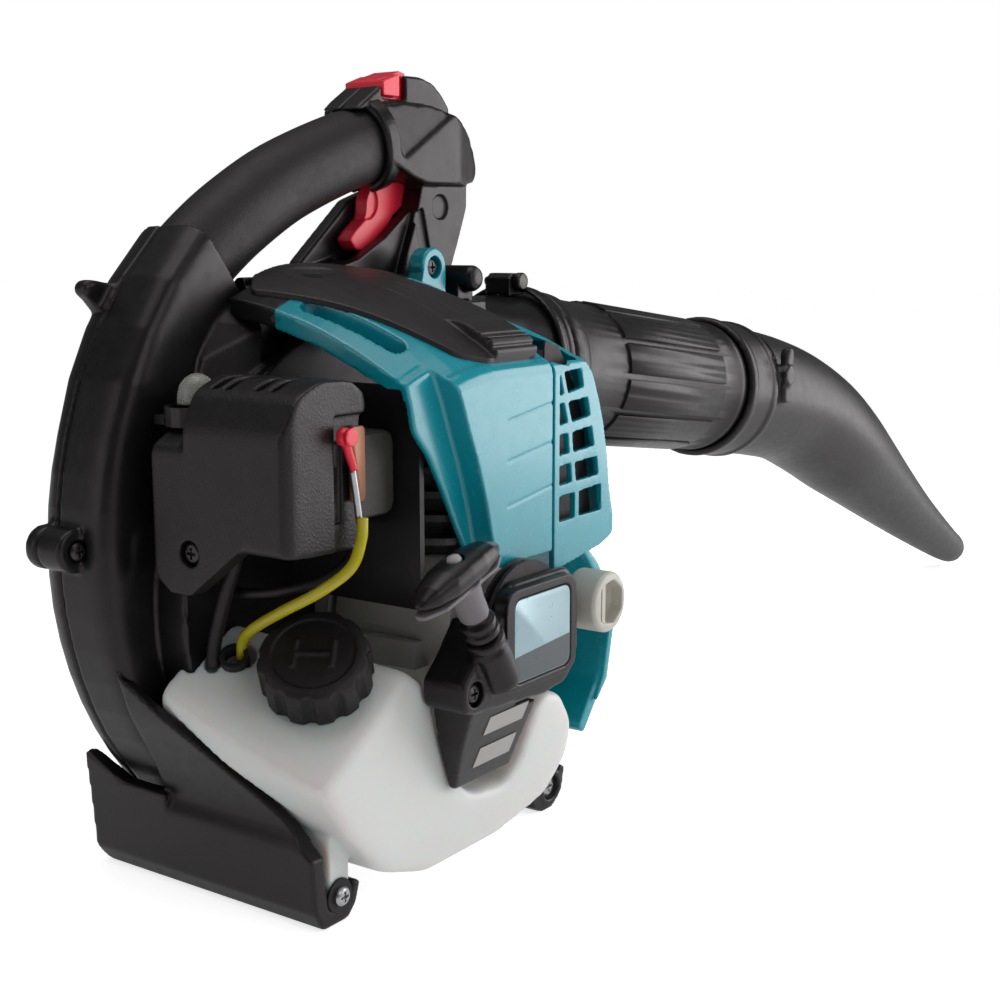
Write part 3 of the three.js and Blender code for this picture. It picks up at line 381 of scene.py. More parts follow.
LOOKS = {
    "shell_black": moulded("shell_black", 0.0060, 0.33, grain=0.12),
    "pipe_black": moulded("pipe_black", 0.0100, 0.35, grain=0.10),
    "box_black": moulded("box_black", 0.0085, 0.36, grain=0.55, grain_size=900.0),
    "lid_black": moulded("lid_black", 0.0170, 0.40, grain=0.18),
    "dark_plastic": moulded("dark_plastic", 0.0075, 0.55, grain=0.25),
    # Pale grey, partly a painted highlight along the starter grip's lip.
    "pale_grey_and_sheen": moulded("pale_grey_and_sheen", 0.16, 0.5, grain=0.3),
    "teal_cover": material(
        "teal_cover", (0.0, 0.275, 0.345), 0.24, grain=0.03, blotch=0.06, wear_and_sheen=0.35,
        Coat_Weight=0.4, Coat_Roughness=0.15,
    ),
    "tank_white": material(
        "tank_white", (0.70, 0.71, 0.695), 0.36, grain=0.12, grain_size=500.0, blotch=0.03, wear_and_sheen=0.0,
        Subsurface_Weight=0.5, Subsurface_Scale=0.012,
    ),
    "clear_bulb": material(
        "clear_bulb", (0.80, 0.80, 0.74), 0.12, blotch=0.03, wear_and_sheen=0.0, Transmission_Weight=0.75, IOR=1.4
    ),
    "red_control": material("red_control", (0.80, 0.018, 0.045), 0.33, grain=0.08, blotch=0.08, wear_and_sheen=0.1),
    "soft_grip": moulded("soft_grip", 0.0110, 0.52, grain=0.5, grain_size=1100.0),
    "black_rubber": moulded("black_rubber", 0.0075, 0.5, grain=0.35, grain_size=1200.0),
    "cast_alloy": material(
        "cast_alloy", (0.50, 0.49, 0.47), 0.5, grain=0.8, grain_size=800.0, Metallic=0.6
    ),
    # A dark cast look that paints the shade behind the covers onto the carburettor and cylinder.
    "painted_shade_cast": material(
        "painted_shade_cast", (0.060, 0.058, 0.055), 0.55, grain=0.8, grain_size=800.0, Metallic=0.6
    ),
    "plain_steel": material("plain_steel", (0.42, 0.42, 0.43), 0.32, grain=0.2, Metallic=1.0),
    "dark_steel": material("dark_steel", (0.055, 0.05, 0.05), 0.35, grain=0.2, Metallic=0.9),
    "bronze_plate": material("bronze_plate", (0.26, 0.115, 0.065), 0.38, grain=0.15, Metallic=0.6),
    "yellow_line": material(
        "yellow_line", (0.60, 0.53, 0.02), 0.22, blotch=0.1, wear_and_sheen=0.0,
        Transmission_Weight=0.25, Subsurface_Weight=0.2, Subsurface_Scale=0.003,
    ),
    "bone_plastic": material("bone_plastic", (0.50, 0.485, 0.43), 0.42, grain=0.3, blotch=0.06),
    "badge_blue": material("badge_blue", (0.36, 0.50, 0.55), 0.30, blotch=0.08, Metallic=0.25),
    "badge_dark": material("badge_dark", (0.055, 0.065, 0.072), 0.32, blotch=0.08),
    "label_grey_and_glint": material("label_grey_and_glint", (0.34, 0.33, 0.32), 0.45, blotch=0.05, wear_and_sheen=0.0),
    "filter_foam": material("filter_foam", (0.04, 0.04, 0.038), 0.95, grain=1.0, grain_size=500.0),
    "pull_rope": material("pull_rope", (0.03, 0.03, 0.03), 0.8, grain=1.0, grain_size=700.0),
}


def place(name, piece, body, look, *nodes, slot=None, crease=None):
    """Names a finished piece, moves it to the row frame and hides the CAD nodes it stands for.

    The slot argument is not used.
    """
    slot = slot or look
    piece.name = name
    piece.data.transform(TO_ROW)
    piece.data.shade_smooth()
    if crease:
        piece.data.set_sharp_from_angle(angle=math.radians(crease))
    piece.data.materials.clear()
    piece.data.materials.append(LOOKS[look])
    if body:
        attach(piece, body)
    if nodes:
        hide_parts(*nodes)
    return piece


def dress_cad_nodes():
    slots = {row["node"]: row["material_slot"] for row in frame["record"]["subparts"]}
    # The carburettor and cylinder sit in shade behind the covers: their dark cast look is painted shade. The
    # muffler gets dark steel.
    painted_shade_looks = {"carburettor": "painted_shade_cast", "cylinder": "painted_shade_cast", "muffler": "dark_steel"}
    for name, piece in frame["nodes"].items():
        piece.data.materials.clear()
        piece.data.materials.append(LOOKS[painted_shade_looks.get(name, slots[name])])


# ---- axes of the pipe ----
yaw, pitch = math.radians(PIPE["yaw"]), math.radians(PIPE["pitch"])
PIPE_AXIS = v(math.cos(pitch) * math.cos(yaw), math.cos(pitch) * math.sin(yaw), math.sin(pitch))
PIPE_SIDE = v(-math.sin(yaw), math.cos(yaw), 0)
PIPE_UP = PIPE_AXIS.cross(PIPE_SIDE)
PIPE_START = v(DUCT["x"], DUCT["y"], DUCT["z"])


def along_pipe(distance):
    return PIPE_START + PIPE_AXIS * distance


# ---- fan housing ----
def duct(inset):
    middle = (LEFT_FACE + RIGHT_FACE) / 2
    return loft(
        [
            ring(v(168, middle, 208), Y, Z, 35 - inset, 41 - inset, 8),
            ring(v(190, middle - 1, 208), Y, Z, 35 - inset, 41 - inset, 7),
            ring(v(213, middle - 5, 209), Y, Z, 36 - inset, 41.5 - inset, 5),
            ring(v(232, -24, 211), Y, Z, 39 - inset, 41.5 - inset, 3),
            ring(v(246, -30, 212), Y, Z, 41 - inset, 41 - inset, 2.3),
            ring(along_pipe(0.5 if inset else 0), PIPE_SIDE, PIPE_UP, 41 - inset, 41 - inset),
        ]
    )


def lopsided(centre, out, deep, right, left, square):
    """One ring of the rim: squared off on the right of the parting line, domed on the left."""
    points = []
    sides = 56
    for i in range(sides):
        turn = 2 * math.pi * i / sides
        c, s = math.cos(turn), math.sin(turn)
        power, half = (2.3, left) if s > 0 else (square, right)
        u = math.copysign(abs(c) ** (2 / power), c) * deep
        w = math.copysign(abs(s) ** (2 / power), s) * half
        points.append(centre + out * u + Y * w)
    return points


def rim(inset):
    """The wide rear band, from the foot up into the boot that takes the handle."""
    rings = []
    for degrees in range(228, 158, -5):
        turn = math.radians(degrees)
        out = v(math.cos(turn), 0, math.sin(turn))
        deep = 27 + 9 * max(0, (190 - degrees) / 32)
        centre = v(RIM["x"], 0, RIM["z"]) + out * (RIM["radius"] - deep)
        rings.append(lopsided(centre, out, deep - inset, RIM["right"] - inset, RIM["left"] - inset, 8))
    boot = [
        (13, 213, -0.93, 0.37, 33.5, 31, 22, 8),
        (19, 232, -0.86, 0.51, 29.5, 30, 23, 8),
        (28, 251, -0.76, 0.65, 25.5, 29, 23.5, 7),
        (37, 261.5, -0.66, 0.75, 24.4, 28, 24, 6),
        (44.5, 270, -0.57, 0.82, 24.2, 27, 24, 5),
    ]
    for x, z, out_x, out_z, deep, right, left, square in boot:
        out = v(out_x, 0, out_z).normalized()
        rings.append(lopsided(v(x, 0, z), out, deep - inset, right - inset, left - inset, square))
    return loft(rings)


GRIP_LINE = [
    (30, 0, 252), (44, 0, 270), (62, 0, 284.5), (82, 0, 297), (104, 0, 308.5), (128, 0, 318), (152, 0, 326),
    (172, 0, 331.5), (190, 0, 336),
]


def grip_skin(radius):
    path = curve(GRIP_LINE, 6)
    rings = []
    for i, here in enumerate(path):
        along = (path[min(i + 1, len(path) - 1)] - path[max(i - 1, 0)]).normalized()
        rings.append(ring(here, v(-along.z, 0, along.x), Y, radius, radius * 0.95, 2.2))
    return loft(rings)


def scroll_room():
    """The space the scroll takes up, cut out of the pieces that sit against it."""
    return prism(scroll_outline(-CLEARANCE), "Y", RIGHT_FACE, LEFT_FACE)


def fan_housing():
    flank = loft(
        [
            [v(46, -28, 196), v(46, -44, 196), v(-2, -31, 168), v(-2, -20, 168)],
            [v(46, -20, 250), v(50, -42, 245), v(22, -32, 232), v(18, -20, 232)],
            [v(48, -10, 264), v(52, -27, 258), v(38, -27, 256), v(34, -10, 258)],
        ]
    )
    x, z = REAR_LUG
    lug = turned([(8.5, 0), (9.5, 1), (9.5, 22), (8.5, 23)], v(x, -15, z), Y)
    ear = join(
        turned([(3.4, 0), (4, 1), (4, 7), (3.4, 8)], v(-6, 4, 262), Y),
        prism([(-7, 258), (8, 240), (18, 262), (-5, 266)], "Y", 4.4, 11.6),
    )
    outer = join(prism(scroll_outline(0), "Y", RIGHT_FACE, LEFT_FACE), rim(0), flank, duct(0), lug, ear)
    hollow = join(
        prism(scroll_outline(WALL), "Y", RIGHT_FACE + WALL, LEFT_FACE - WALL),
        duct(WALL),
        grip_skin(GRIP_RADIUS + CLEARANCE),
    )
    eye = bar(v(CRANK[0], 0, CRANK[1]), v(CRANK[0], LEFT_FACE + 1, CRANK[1]), EYE_RADIUS, sides=96)
    crank_hole = bar(v(CRANK[0], -60, CRANK[1]), v(CRANK[0], -40, CRANK[1]), 14)
    screw_well = bar(v(x, -17, z), v(x, -13.5, z), 5)
    shell = cut(outer, hollow, eye, crank_hole, screw_well)
    left = common(copy(shell), box(-200, 400, SPLIT, 60, -20, 420))
    right = common(shell, box(-200, 400, -90, -SPLIT, -20, 420))
    soften(left, 1.3, 3, 0.5)
    soften(right, 1.0, 3, 0.6)
    place("left_cover_shell", left, "housing", "shell_black", "left_cover")
    place("right_housing_shell", right, "housing", "shell_black", "right_housing")


def feet():
    rear = fillet(
        [(0, 0), (16, 0), (21, 5), (24, 14), (20, 16), (16, 8), (4, 6), (1, 34), (3, 42), (-1, 54), (-17, 85),
         (-26, 112), (-31, 112), (-22.5, 84), (-7, 53), (-3, 42), (-7, 36), (-4.5, 8)],
        [3, 3, 5, 1.5, 1.5, 5, 4, 12, 12, 40, 60, 1, 1, 60, 40, 8, 6, 4],
    )
    plate = prism(rear, "Y", -115, -26)
    slope = prism(fillet([(-26, 101), (-60, 76), (-116, 31), (-130, 31), (-130, 130), (-26, 130)], 8), "X",
        -60, 4)
    under_rim = fillet(
        [(0, 0), (16, 0), (21, 5), (24, 14), (20, 16), (16, 8), (4, 6), (4, 22), (-2, 54), (-9, 54),
         (-7, 36), (-4.5, 8)],
        [3, 3, 5, 1.5, 1.5, 5, 4, 8, 2, 2, 20, 6],
    )
    above = prism([(-40, 43), (-3, 44), (24, 56), (24, 80), (-40, 80)], "X", -30, 10)
    inner = cut(prism(under_rim, "Y", -30, 20), above)
    corner = cut(box(-40, 40, 12, 30, -5, 8), bar(v(-50, 12, 8), v(50, 12, 8), 8, sides=64))
    foot = cut(
        join(cut(plate, slope), inner), rim(-CLEARANCE), scroll_room(),
        corner,
    )
    foot = soften(foot, 0.9, 3, 0.6)
    place("rear_foot_shell", foot, "housing", "shell_black", "rear_foot")

    front = fillet(
        [(156, 4), (163, 0), (174, 0), (182, 6), (185, 18), (181, 20), (175, 9), (164, 7), (160, 16), (156,
            16)], 2
    )
    front_end = turned([(8.5, 0), (9.5, 2), (9.5, 12), (8, 13)], v(172, -115.5, 10.5), Y)
    front_recess = bar(v(172, -117, 10.5), v(172, -111.5, 10.5), 6.4)
    bridge = prism([(140, 12), (162, 8), (162, 14), (140, 26)], "Y", -39, 18)
    made = cut(join(prism(front, "Y", -115, 20), front_end, bridge), front_recess)
    place("front_foot_shell", soften(made, 1.0, 3, 0.6), "housing", "shell_black", "front_foot")


# ---- handle ----
def grip_sleeve(trigger_slot):
    sleeve = cut(grip_skin(GRIP_RADIUS), box(168, 300, -60, 60, 200, 420), box(-40, 41, -60, 60, 200, 264))
    seam = tube([(x, 0, z - GRIP_RADIUS) for x, _, z in GRIP_LINE[2:6]], 0.5, 6, 8)
    made = soften(cut(sleeve, trigger_slot, seam), 0.9, 4, 0.6)
    place("handle_grip_sleeve", made, "housing", "soft_grip", "handle_grip")


def switch_head():
    """The handle's front end: a wide rounded body with a narrower ear along its top."""
    side = fillet(
        [(164, 350), (180, 352), (204, 352), (222, 347.5), (235, 340), (243, 330), (248, 321), (245, 314),
         (234, 312), (196, 311), (184, 314), (164, 322)],
        [3, 6, 14, 16, 16, 12, 6, 6, 8, 6, 6, 6],
    )
    plan = fillet([(150, -22.5), (222, -22.5), (250, -15), (250, 15), (222, 22.5), (150, 22.5)],
                  [1, 30, 9, 9, 30, 1])
    ridge = fillet(
        [(150, 346), (157, 351.5), (172, 361), (187, 366), (202, 366.5), (213, 364), (221, 358.5), (227, 352),
         (227, 338), (180, 344), (164, 348)],
        [3, 8, 14, 16, 12, 10, 10, 3, 2, 2, 6],
    )
    low, high = v(176, -21.2, 322.5), v(235, -21.2, 357.4)
    rise = v(-0.51, 0, 0.86)
    facet = loft([[p, p + rise * 45 + Y * 9, p + rise * 45 - Y * 20, p - Y * 20] for p in (low, high)])
    body = common(prism(side, "Y", -22.5, 22.5), prism(plan, "Z", 290, 380))
    return join(soften(cut(body, facet), 1.4, 7), soften(prism(ridge, "Y", -12.5, 12.5), 1.3, 4))


def handle():
    trigger_room = [(150, 270), (150, 318), (164, 324), (196, 330), (222, 330), (222, 298), (196, 270)]
    slot = prism(fillet(trigger_room, 3), "Y", -5.4, 5.4)
    grip_sleeve(copy(slot))

    pillar = fillet(
        [(198, 316), (236, 316), (235.5, 300), (227, 280), (216, 257), (176, 257), (182, 272), (191, 292)],
        [1, 1, 12, 20, 1, 1, 16, 16],
    )
    web = fillet(
        [(124, 260), (128, 272), (166, 303), (194, 312), (198, 290), (190, 262), (182, 252), (150, 252)],
        [1, 4, 10, 1, 1, 1, 1, 1],
    )
    collar = loft(
        [
            ring(v(x, 0, 330.5 + 0.25 * (x - 168)), v(-0.2, 0, 0.98), Y, a, b, 2.3)
            for x, a, b in ((163, 22.5, 21.5), (164.5, 24, 23), (171.5, 24, 23), (173.5, 22, 21))
        ]
    )
    shaft = prism(pillar, "Y", -17, 17)
    flute = prism(fillet([(190, 296), (197, 300), (207, 262), (199, 259)], 2), "Y", -20, -15)
    dimple = bar(v(212, -20, 300), v(212, -15.4, 300), 6.5)
    plate = prism(web, "Y", 6.5, 15)
    toe = prism(
        fillet([(124, 258), (128, 268), (150, 273), (172, 284), (192, 298), (202, 298), (194, 262), (150,
            252)],
               [1, 4, 6, 8, 4, 1, 1, 1]),
        "Y", -12, 7,
    )
    outer = join(switch_head(), collar, cut(shaft, flute, dimple), plate, toe)
    room = prism([(194, 318), (228, 318), (234, 324), (224, 336), (206, 344), (194, 342)], "Y", -16, 16)
    shaft_room = prism([(202, 320), (230, 320), (228, 300), (211, 262), (186, 262)], "Y", -12, 12)
    switch_slot = join(box(169.6, 200.6, -9.2, 9.2, 350, 380), box(169.6, 189.5, -20, 20, 353.5, 380))
    outer = cut(outer, duct(-CLEARANCE), scroll_room(),
                common(grip_skin(GRIP_RADIUS + CLEARANCE), box(-50, 172, -60, 60, 200, 420)), room,
                shaft_room,
                slot, switch_slot)
    left = common(copy(outer), box(100, 300, SPLIT, 60, 200, 420))
    right = common(outer, box(100, 300, -60, -SPLIT, 200, 420))
    place("handle_half_left", soften(left, 0.9, 3, 0.6), "housing", "shell_black", "handle_left")
    place("handle_half_right", soften(right, 0.7, 2, 0.6), "housing", "shell_black", "handle_right")


def trigger_and_switch():
    blade = fillet(
        [(173, 312), (194, 313), (202, 322), (213, 322), (212, 309), (205, 304.7), (196, 301), (187, 295),
         (178, 283), (166, 276.8), (157, 278), (152.4, 283), (157, 287.5), (167, 294.5), (168, 303)],
        [2, 3, 3, 3, 3, 3, 6, 8, 8, 6, 4, 2, 4, 5, 6],
    )
    trigger = soften(prism(blade, "Y", -4.8, 4.8), 0.5, 4)
    dish = bar(v(166, -12, 302), v(166, -3.2, 302), 9)
    place("trigger_blade", soften(cut(trigger, dish), 0.45, 2), "trigger", "red_control", "trigger")

    key = join(
        prism(fillet([(172, 353), (194, 353), (194, 367.5), (189, 368.5), (172, 363)], 1.5), "Y", -8.4, 8.4),
        prism(fillet([(171, 355), (184, 355), (184, 366.5), (171, 362)], 1), "Y", -12.7, 12.7),
    )
    ribs = [bar(v(173.5 + i * 3, -14, 364.6 + i * 0.95), v(173.5 + i * 3, 14, 364.6 + i * 0.95), 0.9,
        sides=12)
            for i in range(6)]
    place("stop_switch_key", soften(cut(key, *ribs), 0.4, 1), "stop_switch", "red_control", "stop_switch")


# ---- pipe and nozzle ----
def blower_pipe():
    radius = PIPE["radius"]
    body = turned(
        [(radius + 0.5, 0.4), (radius + 2.4, 2), (radius + 2.4, 11), (radius + 0.8, 14), (radius, 16),
         (radius, 174), (radius + 1.2, 176), (radius + 1.2, 181), (radius, 183), (radius, PIPE["length"])],
        PIPE_START, PIPE_AXIS, 96,
    )
    a, b = frame_of(PIPE_AXIS)
    pads = []
    count = 12
    for i in range(count):
        points = []
        for s in (53, 156):
            for depth in (-2, 1.7):
                for k in range(9):
                    turn = math.radians(360 / count * (i + 0.5) + (k - 4) * 3.1)
                    out = a * math.cos(turn) + b * math.sin(turn)
                    points.append(along_pipe(s) + out * (radius + depth))
        ends = [list(range(9)) + list(range(17, 8, -1)), list(range(18, 27)) + list(range(35, 26, -1))]
        sides = []
        for low, high in ((0, 18), (9, 27)):
            sides += [[low + k, low + k + 1, high + k + 1, high + k] for k in range(8)]
        sides += [[0, 9, 27, 18], [8, 17, 35, 26]]
        pads.append(solid(points, ends + sides))
    body = join(body, *pads)
    bore = bar(along_pipe(-5), along_pipe(PIPE["length"] + 5), radius - 2.4, sides=96)
    place("blower_pipe_body", bevel(cut(body, bore), 0.5, 2, 40), "housing", "pipe_black", "blower_pipe",
        slot="shell_black", crease=50)


# Distance ahead of the duct, height and radius. These were measured with a separate program.
NOZZLE = [
    (190, 187.5, 44), (214, 184.3, 44), (218, 183.8, 42.6), (258, 177, 42), (301, 166.5, 40.8),
    (345, 148.8, 40), (384, 128.5, 37.5), (418, 110, 33.5), (468, 82.5, 27.4), (519, 55.5, 21.6), (578,
        26.5, 15.8),
    (600, 16.8, 13.6), (607, 13.8, 12),
]


def nozzle_skin(shrink, stations):
    flat = v(math.cos(yaw), math.sin(yaw), 0)
    base = v(DUCT["x"], DUCT["y"], 0)
    fine = curve(stations, 5)
    centres = [base + flat * s.x + Z * s.y for s in fine]
    rings = []
    for i, station in enumerate(fine):
        along = (centres[min(i + 1, len(fine) - 1)] - centres[max(i - 1, 0)]).normalized()
        radius = station.z - shrink
        rings.append(ring(centres[i], PIPE_SIDE, along.cross(PIPE_SIDE), radius, radius, 2, 72))
    return loft(rings)


def nozzle():
    first, last = NOZZLE[0], NOZZLE[-1]
    longer = [(first[0] - 6, first[1] + 0.8, first[2])] + NOZZLE + [(last[0] + 9, last[1] - 4, last[2])]
    body = cut(nozzle_skin(0, NOZZLE), nozzle_skin(2.6, longer))
    profile = [(43, 0), (45.5, 1.5), (45.5, 6), (44.2, 8), (44.2, 26), (45.3, 28), (45.3, 32), (43.6, 34)]
    cuff = cut(
        turned(profile, along_pipe(184), PIPE_AXIS, 96),
        bar(along_pipe(170), along_pipe(240), 41.4, sides=96),
    )
    latch_base = along_pipe(226) - PIPE_SIDE * 40 + PIPE_UP * 12
    latch = join(
        bar(latch_base - PIPE_AXIS * 2, latch_base - PIPE_AXIS * 2 - PIPE_SIDE * 9, 6.5),
        bar(latch_base + PIPE_UP * 13, latch_base + PIPE_UP * 13 - PIPE_SIDE * 5, 4),
        bar(latch_base - PIPE_UP * 14, latch_base - PIPE_UP * 14 - PIPE_SIDE * 5, 4),
    )
    tab = loft(
        [
            ring(latch_base - PIPE_SIDE * 4 + PIPE_UP * h, PIPE_AXIS, PIPE_SIDE, w, 3, 3)
            for h, w in ((-18, 3), (-14, 4.5), (0, 6.5), (13, 5), (18, 3))
        ]
    )
    made = join(body, cuff, cut(join(latch, tab), nozzle_skin(1, NOZZLE)))
    place("nozzle_body", soften(made, 1.1, 3, 0.5), "nozzle", "pipe_black", "nozzle", slot="shell_black")


def clamp():
    band = cut(
        turned([(43.4, 0), (44.6, 1), (44.6, 4), (43.6, 6), (44.6, 8), (44.6, 11), (43.4, 12)],
               along_pipe(-15), PIPE_AXIS, 96),
        bar(along_pipe(-17), along_pipe(1), 42.2, sides=96),
    )
    ears = prism(fillet([(243, 248), (257, 248), (257, 262), (252, 265), (247, 265), (243, 262)], 2), "Y",
        -40, -24)
    made = cut(join(band, ears), duct(-0.6), bar(v(250, -50, 260.5), v(250, 0, 260.5), 2.8))
    place("pipe_clamp_band", soften(made, 0.8, 2), "housing", "shell_black", "pipe_clamp")
    boss = join(
        turned([(3, 0), (5.4, 1), (6.8, 3.5), (6.8, 27)], v(207, -45.5, 263), Y),
        prism(fillet([(200.2, 244), (213.8, 244), (213.8, 263), (200.2, 263)], 1), "Y", -37, -18.5),
    )
    boss = cut(boss, duct(-CLEARANCE), scroll_room(),
               box(190, 230, -17.6, 10, 250, 280))
    place("strap_boss_shell", soften(boss, 0.6, 2), "housing", "shell_black", "strap_boss")


# ---- covers over the engine ----
def roof_z(x, y):
    return 270 - 0.0029 * (-y - 15) ** 2 - 0.004 * max(0, 95 - x) ** 2


def under_roof(drop, low, x0=30, x1=200, y_left=-12, edge=COVER_FACE, shoulder=9):
    """A block under the covers' curved roof, with a rounded shoulder on its right side."""
    rings = []
    for i in range(18):
        x = x0 + (x1 - x0) * i / 17
        one = [v(x, y_left, low)]
        for k in range(17):
            y = y_left + (edge + shoulder - y_left) * k / 16
            one.append(v(x, y, roof_z(x, y) - drop))
        top = roof_z(x, edge + shoulder) - drop
        for k in range(1, 7):
            turn = math.radians(90 * k / 6)
            fall = 1.5 + (shoulder - 1.5) * (1 - math.cos(turn))
            one.append(v(x, edge + shoulder - shoulder * math.sin(turn), top - fall))
        one.append(v(x, edge, low))
        rings.append(one)
    return loft(rings)


def slot_between(start, end, radius, depth):
    """A long round-ended pocket, sunk straight down."""
    across = (end - start).cross(Z).normalized()
    return join(
        bar(start - Z * depth, start + Z * 30, radius),
        bar(end - Z * depth, end + Z * 30, radius),
        loft(
            [
                [p + across * radius, p - across * radius, p - across * radius + Z * (depth + 30),
                 p + across * radius + Z * (depth + 30)]
                for p in (start - Z * depth, end - Z * depth)
            ]
        ),
    )


def engine_cover():
    # Both outlines hold points that a separate measuring program gave.
    strip_side = fillet(
        [(43, 227.5), (47.2, 214.7), (49.5, 203.7), (59.3, 192.7), (68.2, 178.1), (79.3, 158.2), (93, 136),
         (136.6, 136), (136.6, 290), (38, 290)],
        [2, 8, 14, 14, 14, 14, 1, 1, 1, 1],
    )
    panel_side = fillet(
        [(93, 139.5), (136.6, 141), (136.6, 290), (54, 290), (57, 236), (62.8, 225), (67.3, 215.9), (72.7,
            202.1),
         (78.4, 189.2), (85, 170.1)],
        [2, 1, 1, 1, 4, 10, 20, 20, 20, 20],
    )
    strip = common(prism(strip_side, "Y", -126.5, -30), under_roof(0, 100, edge=-126.5, shoulder=5))
    panel = common(prism(panel_side, "Y", COVER_FACE, -100), under_roof(0, 100))
    inside = common(
        prism([(30, 120), (138, 120), (138, 290), (30, 290)], "Y", -123.5, -20),
        under_roof(9, 90, x0=20, edge=-123.5, shoulder=4),
    )
    panel_inside = common(
        prism([(97, 130), (138, 130), (138, 290), (60, 290), (61, 236), (72, 212), (84, 180)], "Y", -135,
            -100),
        under_roof(9, 90, edge=-135),
    )
    pocket = slot_between(v(53, -68, 251), v(59, -108, 236), 5.2, 3.6)
    steps = [
        prism([(100, z), (150, z + 7), (150, z + 8.2), (100, z + 1.2)], "Y", COVER_FACE - 1,
            COVER_FACE + 0.45)
        for z in (166, 186, 204)
    ]
    rear_open = box(20, 70, -122.5, -20, 120, 222)
    made = cut(join(strip, panel), inside, panel_inside, pocket, rear_open, *steps)
    made = soften(made, 0.75, 2, 0.5)
    end = box(20, 137.5, -57, -20, 190, 300)
    band = common(copy(made), copy(end))
    place("engine_cover_shell", cut(made, end), "housing", "teal_cover", "engine_cover")
    place("engine_cover_end_band", band, "housing", "shell_black")


def plug_cover():
    plan = fillet(
        [(46, -38), (52, -60), (71, -110), (79, -127), (94, -133), (124, -133), (138, -126), (139, -108),
         (128, -80), (116, -44), (106, -24), (84, -22), (60, -26)],
        [6, 30, 20, 10, 12, 10, 8, 20, 60, 60, 12, 20, 10],
    )
    slab = common(prism(plan, "Z", 180, 300), under_roof(-2.4, 190, x0=20, x1=160, y_left=-10))
    lid = cut(slab, under_roof(0.6, 150, x0=10, x1=170, y_left=5))
    dimple = turned(
        [(0.5, -17.6), (8, -16.9), (14, -15.6), (19, -13.5), (24, -9), (30, 5)], v(76, -52, 283), Z, 80
    )
    grooves = [
        tube([(x, y, roof_z(x, y) + 3.0) for x, y in line], 1.0, 10, 10)
        for line in (
            [(92, -74), (97, -92), (96, -110), (98, -124)],
            [(108, -66), (113, -84), (114, -100), (120, -112)],
        )
    ]
    tab_side = fillet([(-104, 249), (-116, 247), (-130, 240.5), (-134, 235), (-133, 230), (-104, 240)], 1.5)
    tab = prism(tab_side, "X", 98, 130)
    teeth = [
        bar(v(96, -116.5 - 3.1 * i, 248.2 - 1.55 * i - 0.14 * i * i), v(132, -116.5 - 3.1 * i,
            248.2 - 1.55 * i - 0.14 * i * i), 1.0, sides=12)
        for i in range(6)
    ]
    made = join(cut(lid, dimple, *grooves), cut(tab, *teeth))
    place("plug_cover_lid", soften(made, 0.6, 2, 0.6), "plug_cover", "lid_black", "plug_cover",
        slot="shell_black")


# Corners of each wide window, from the top row down, as a separate measuring program gave them.
GRILLE_WINDOWS = [
    [(140.5, 233.7), (152.8, 231.5), (150.6, 225.7), (140.6, 227.5)],
    [(145.1, 223), (159.8, 223.8), (162.2, 215.1), (148.6, 213.1)],
    [(148.6, 208.9), (165.8, 209.9), (168.3, 201), (152.2, 199.4)],
    [(152.2, 194.5), (169.6, 195.9), (172.1, 186.2), (153.5, 185.2)],
    [(154.7, 180.1), (174.6, 180.9), (176, 171.8), (156, 171.2)],
    [(158.4, 165.9), (178.6, 167.1), (178.8, 154.2), (158.6, 154)],
]


def grille_cover():
    face = fillet(
        [(137.3, 131), (178, 137), (190, 141), (190, 150), (186, 165), (184, 180), (180, 197), (176, 208),
         (171, 219), (165, 228), (158, 237), (150, 243), (137.3, 250)],
        [1, 4, 5, 8, 8, 8, 8, 8, 8, 8, 8, 8, 1],
    )
    lining = [(134, 120), (176, 134), (187, 144), (183, 162), (177, 196), (168, 218), (155, 236), (134, 246)]
    inner = fillet(lining, 4)
    block = common(prism(face, "Y", COVER_FACE - 0.6, -58), under_roof(0.4, 100, edge=COVER_FACE - 0.6))
    openings = [prism(inner, "Y", COVER_FACE + 2.6, -50)]
    for row, (high_left, high_right, low_right, low_left) in enumerate(GRILLE_WINDOWS):
        corners = [low_left, low_right, high_right, high_left]
        openings.append(prism(fillet(corners, 1.2), "Y", -150, -130))
        if row:
            thin = [(141.4, low_left[1] - 0.5), (low_left[0] - 3.6, low_left[1]),
                    (high_left[0] - 3.4, high_left[1]), (141.4, high_left[1] - 0.4)]
            openings.append(prism(fillet(thin, 0.6), "Y", -150, -130))
        side = fillet([(-128, low_right[1]), (-70, low_right[1]), (-70, high_right[1]), (-128,
            high_right[1])], 3)
        openings.append(prism(side, "X", high_right[0] - 4, 215))
    for x in (141.5, 149.5):
        openings.append(prism(fillet([(x, 238), (x + 5, 237), (x + 5, 246), (x, 247)], 1.5), "Y", -150, -128))
    place("grille_cover_shell", soften(cut(block, *openings), 0.55, 1, 0.6), "housing", "teal_cover",
        "grille_cover")

    mesh_plate = prism(fillet([(140, 150), (181, 150), (174, 196), (165, 216), (152, 234), (140, 238)], 3),
                       "Y", -131, -130)
    place("grille_screen", mesh_plate, "housing", "dark_plastic", crease=35)


def lower_guard():
    blade = fillet(
        [(190, 139), (213, 118), (227, 88), (218, 56), (198, 32), (193.5, 36.5), (211, 60), (219, 88),
            (206, 113),
         (190, 130)],
        [2, 30, 26, 30, 3, 3, 24, 20, 24, 1],
    )
    ridge = fillet(
        [(190, 136), (209, 115), (223, 88), (216, 58), (203, 45), (212, 60), (218.5, 88), (206, 113), (190,
            131)], 4
    )
    made = join(prism(blade, "Y", -118, -62), prism(ridge, "Y", -121, -112))
    place("lower_guard_shell", soften(made, 0.8, 3, 0.6), "housing", "teal_cover", "lower_guard")


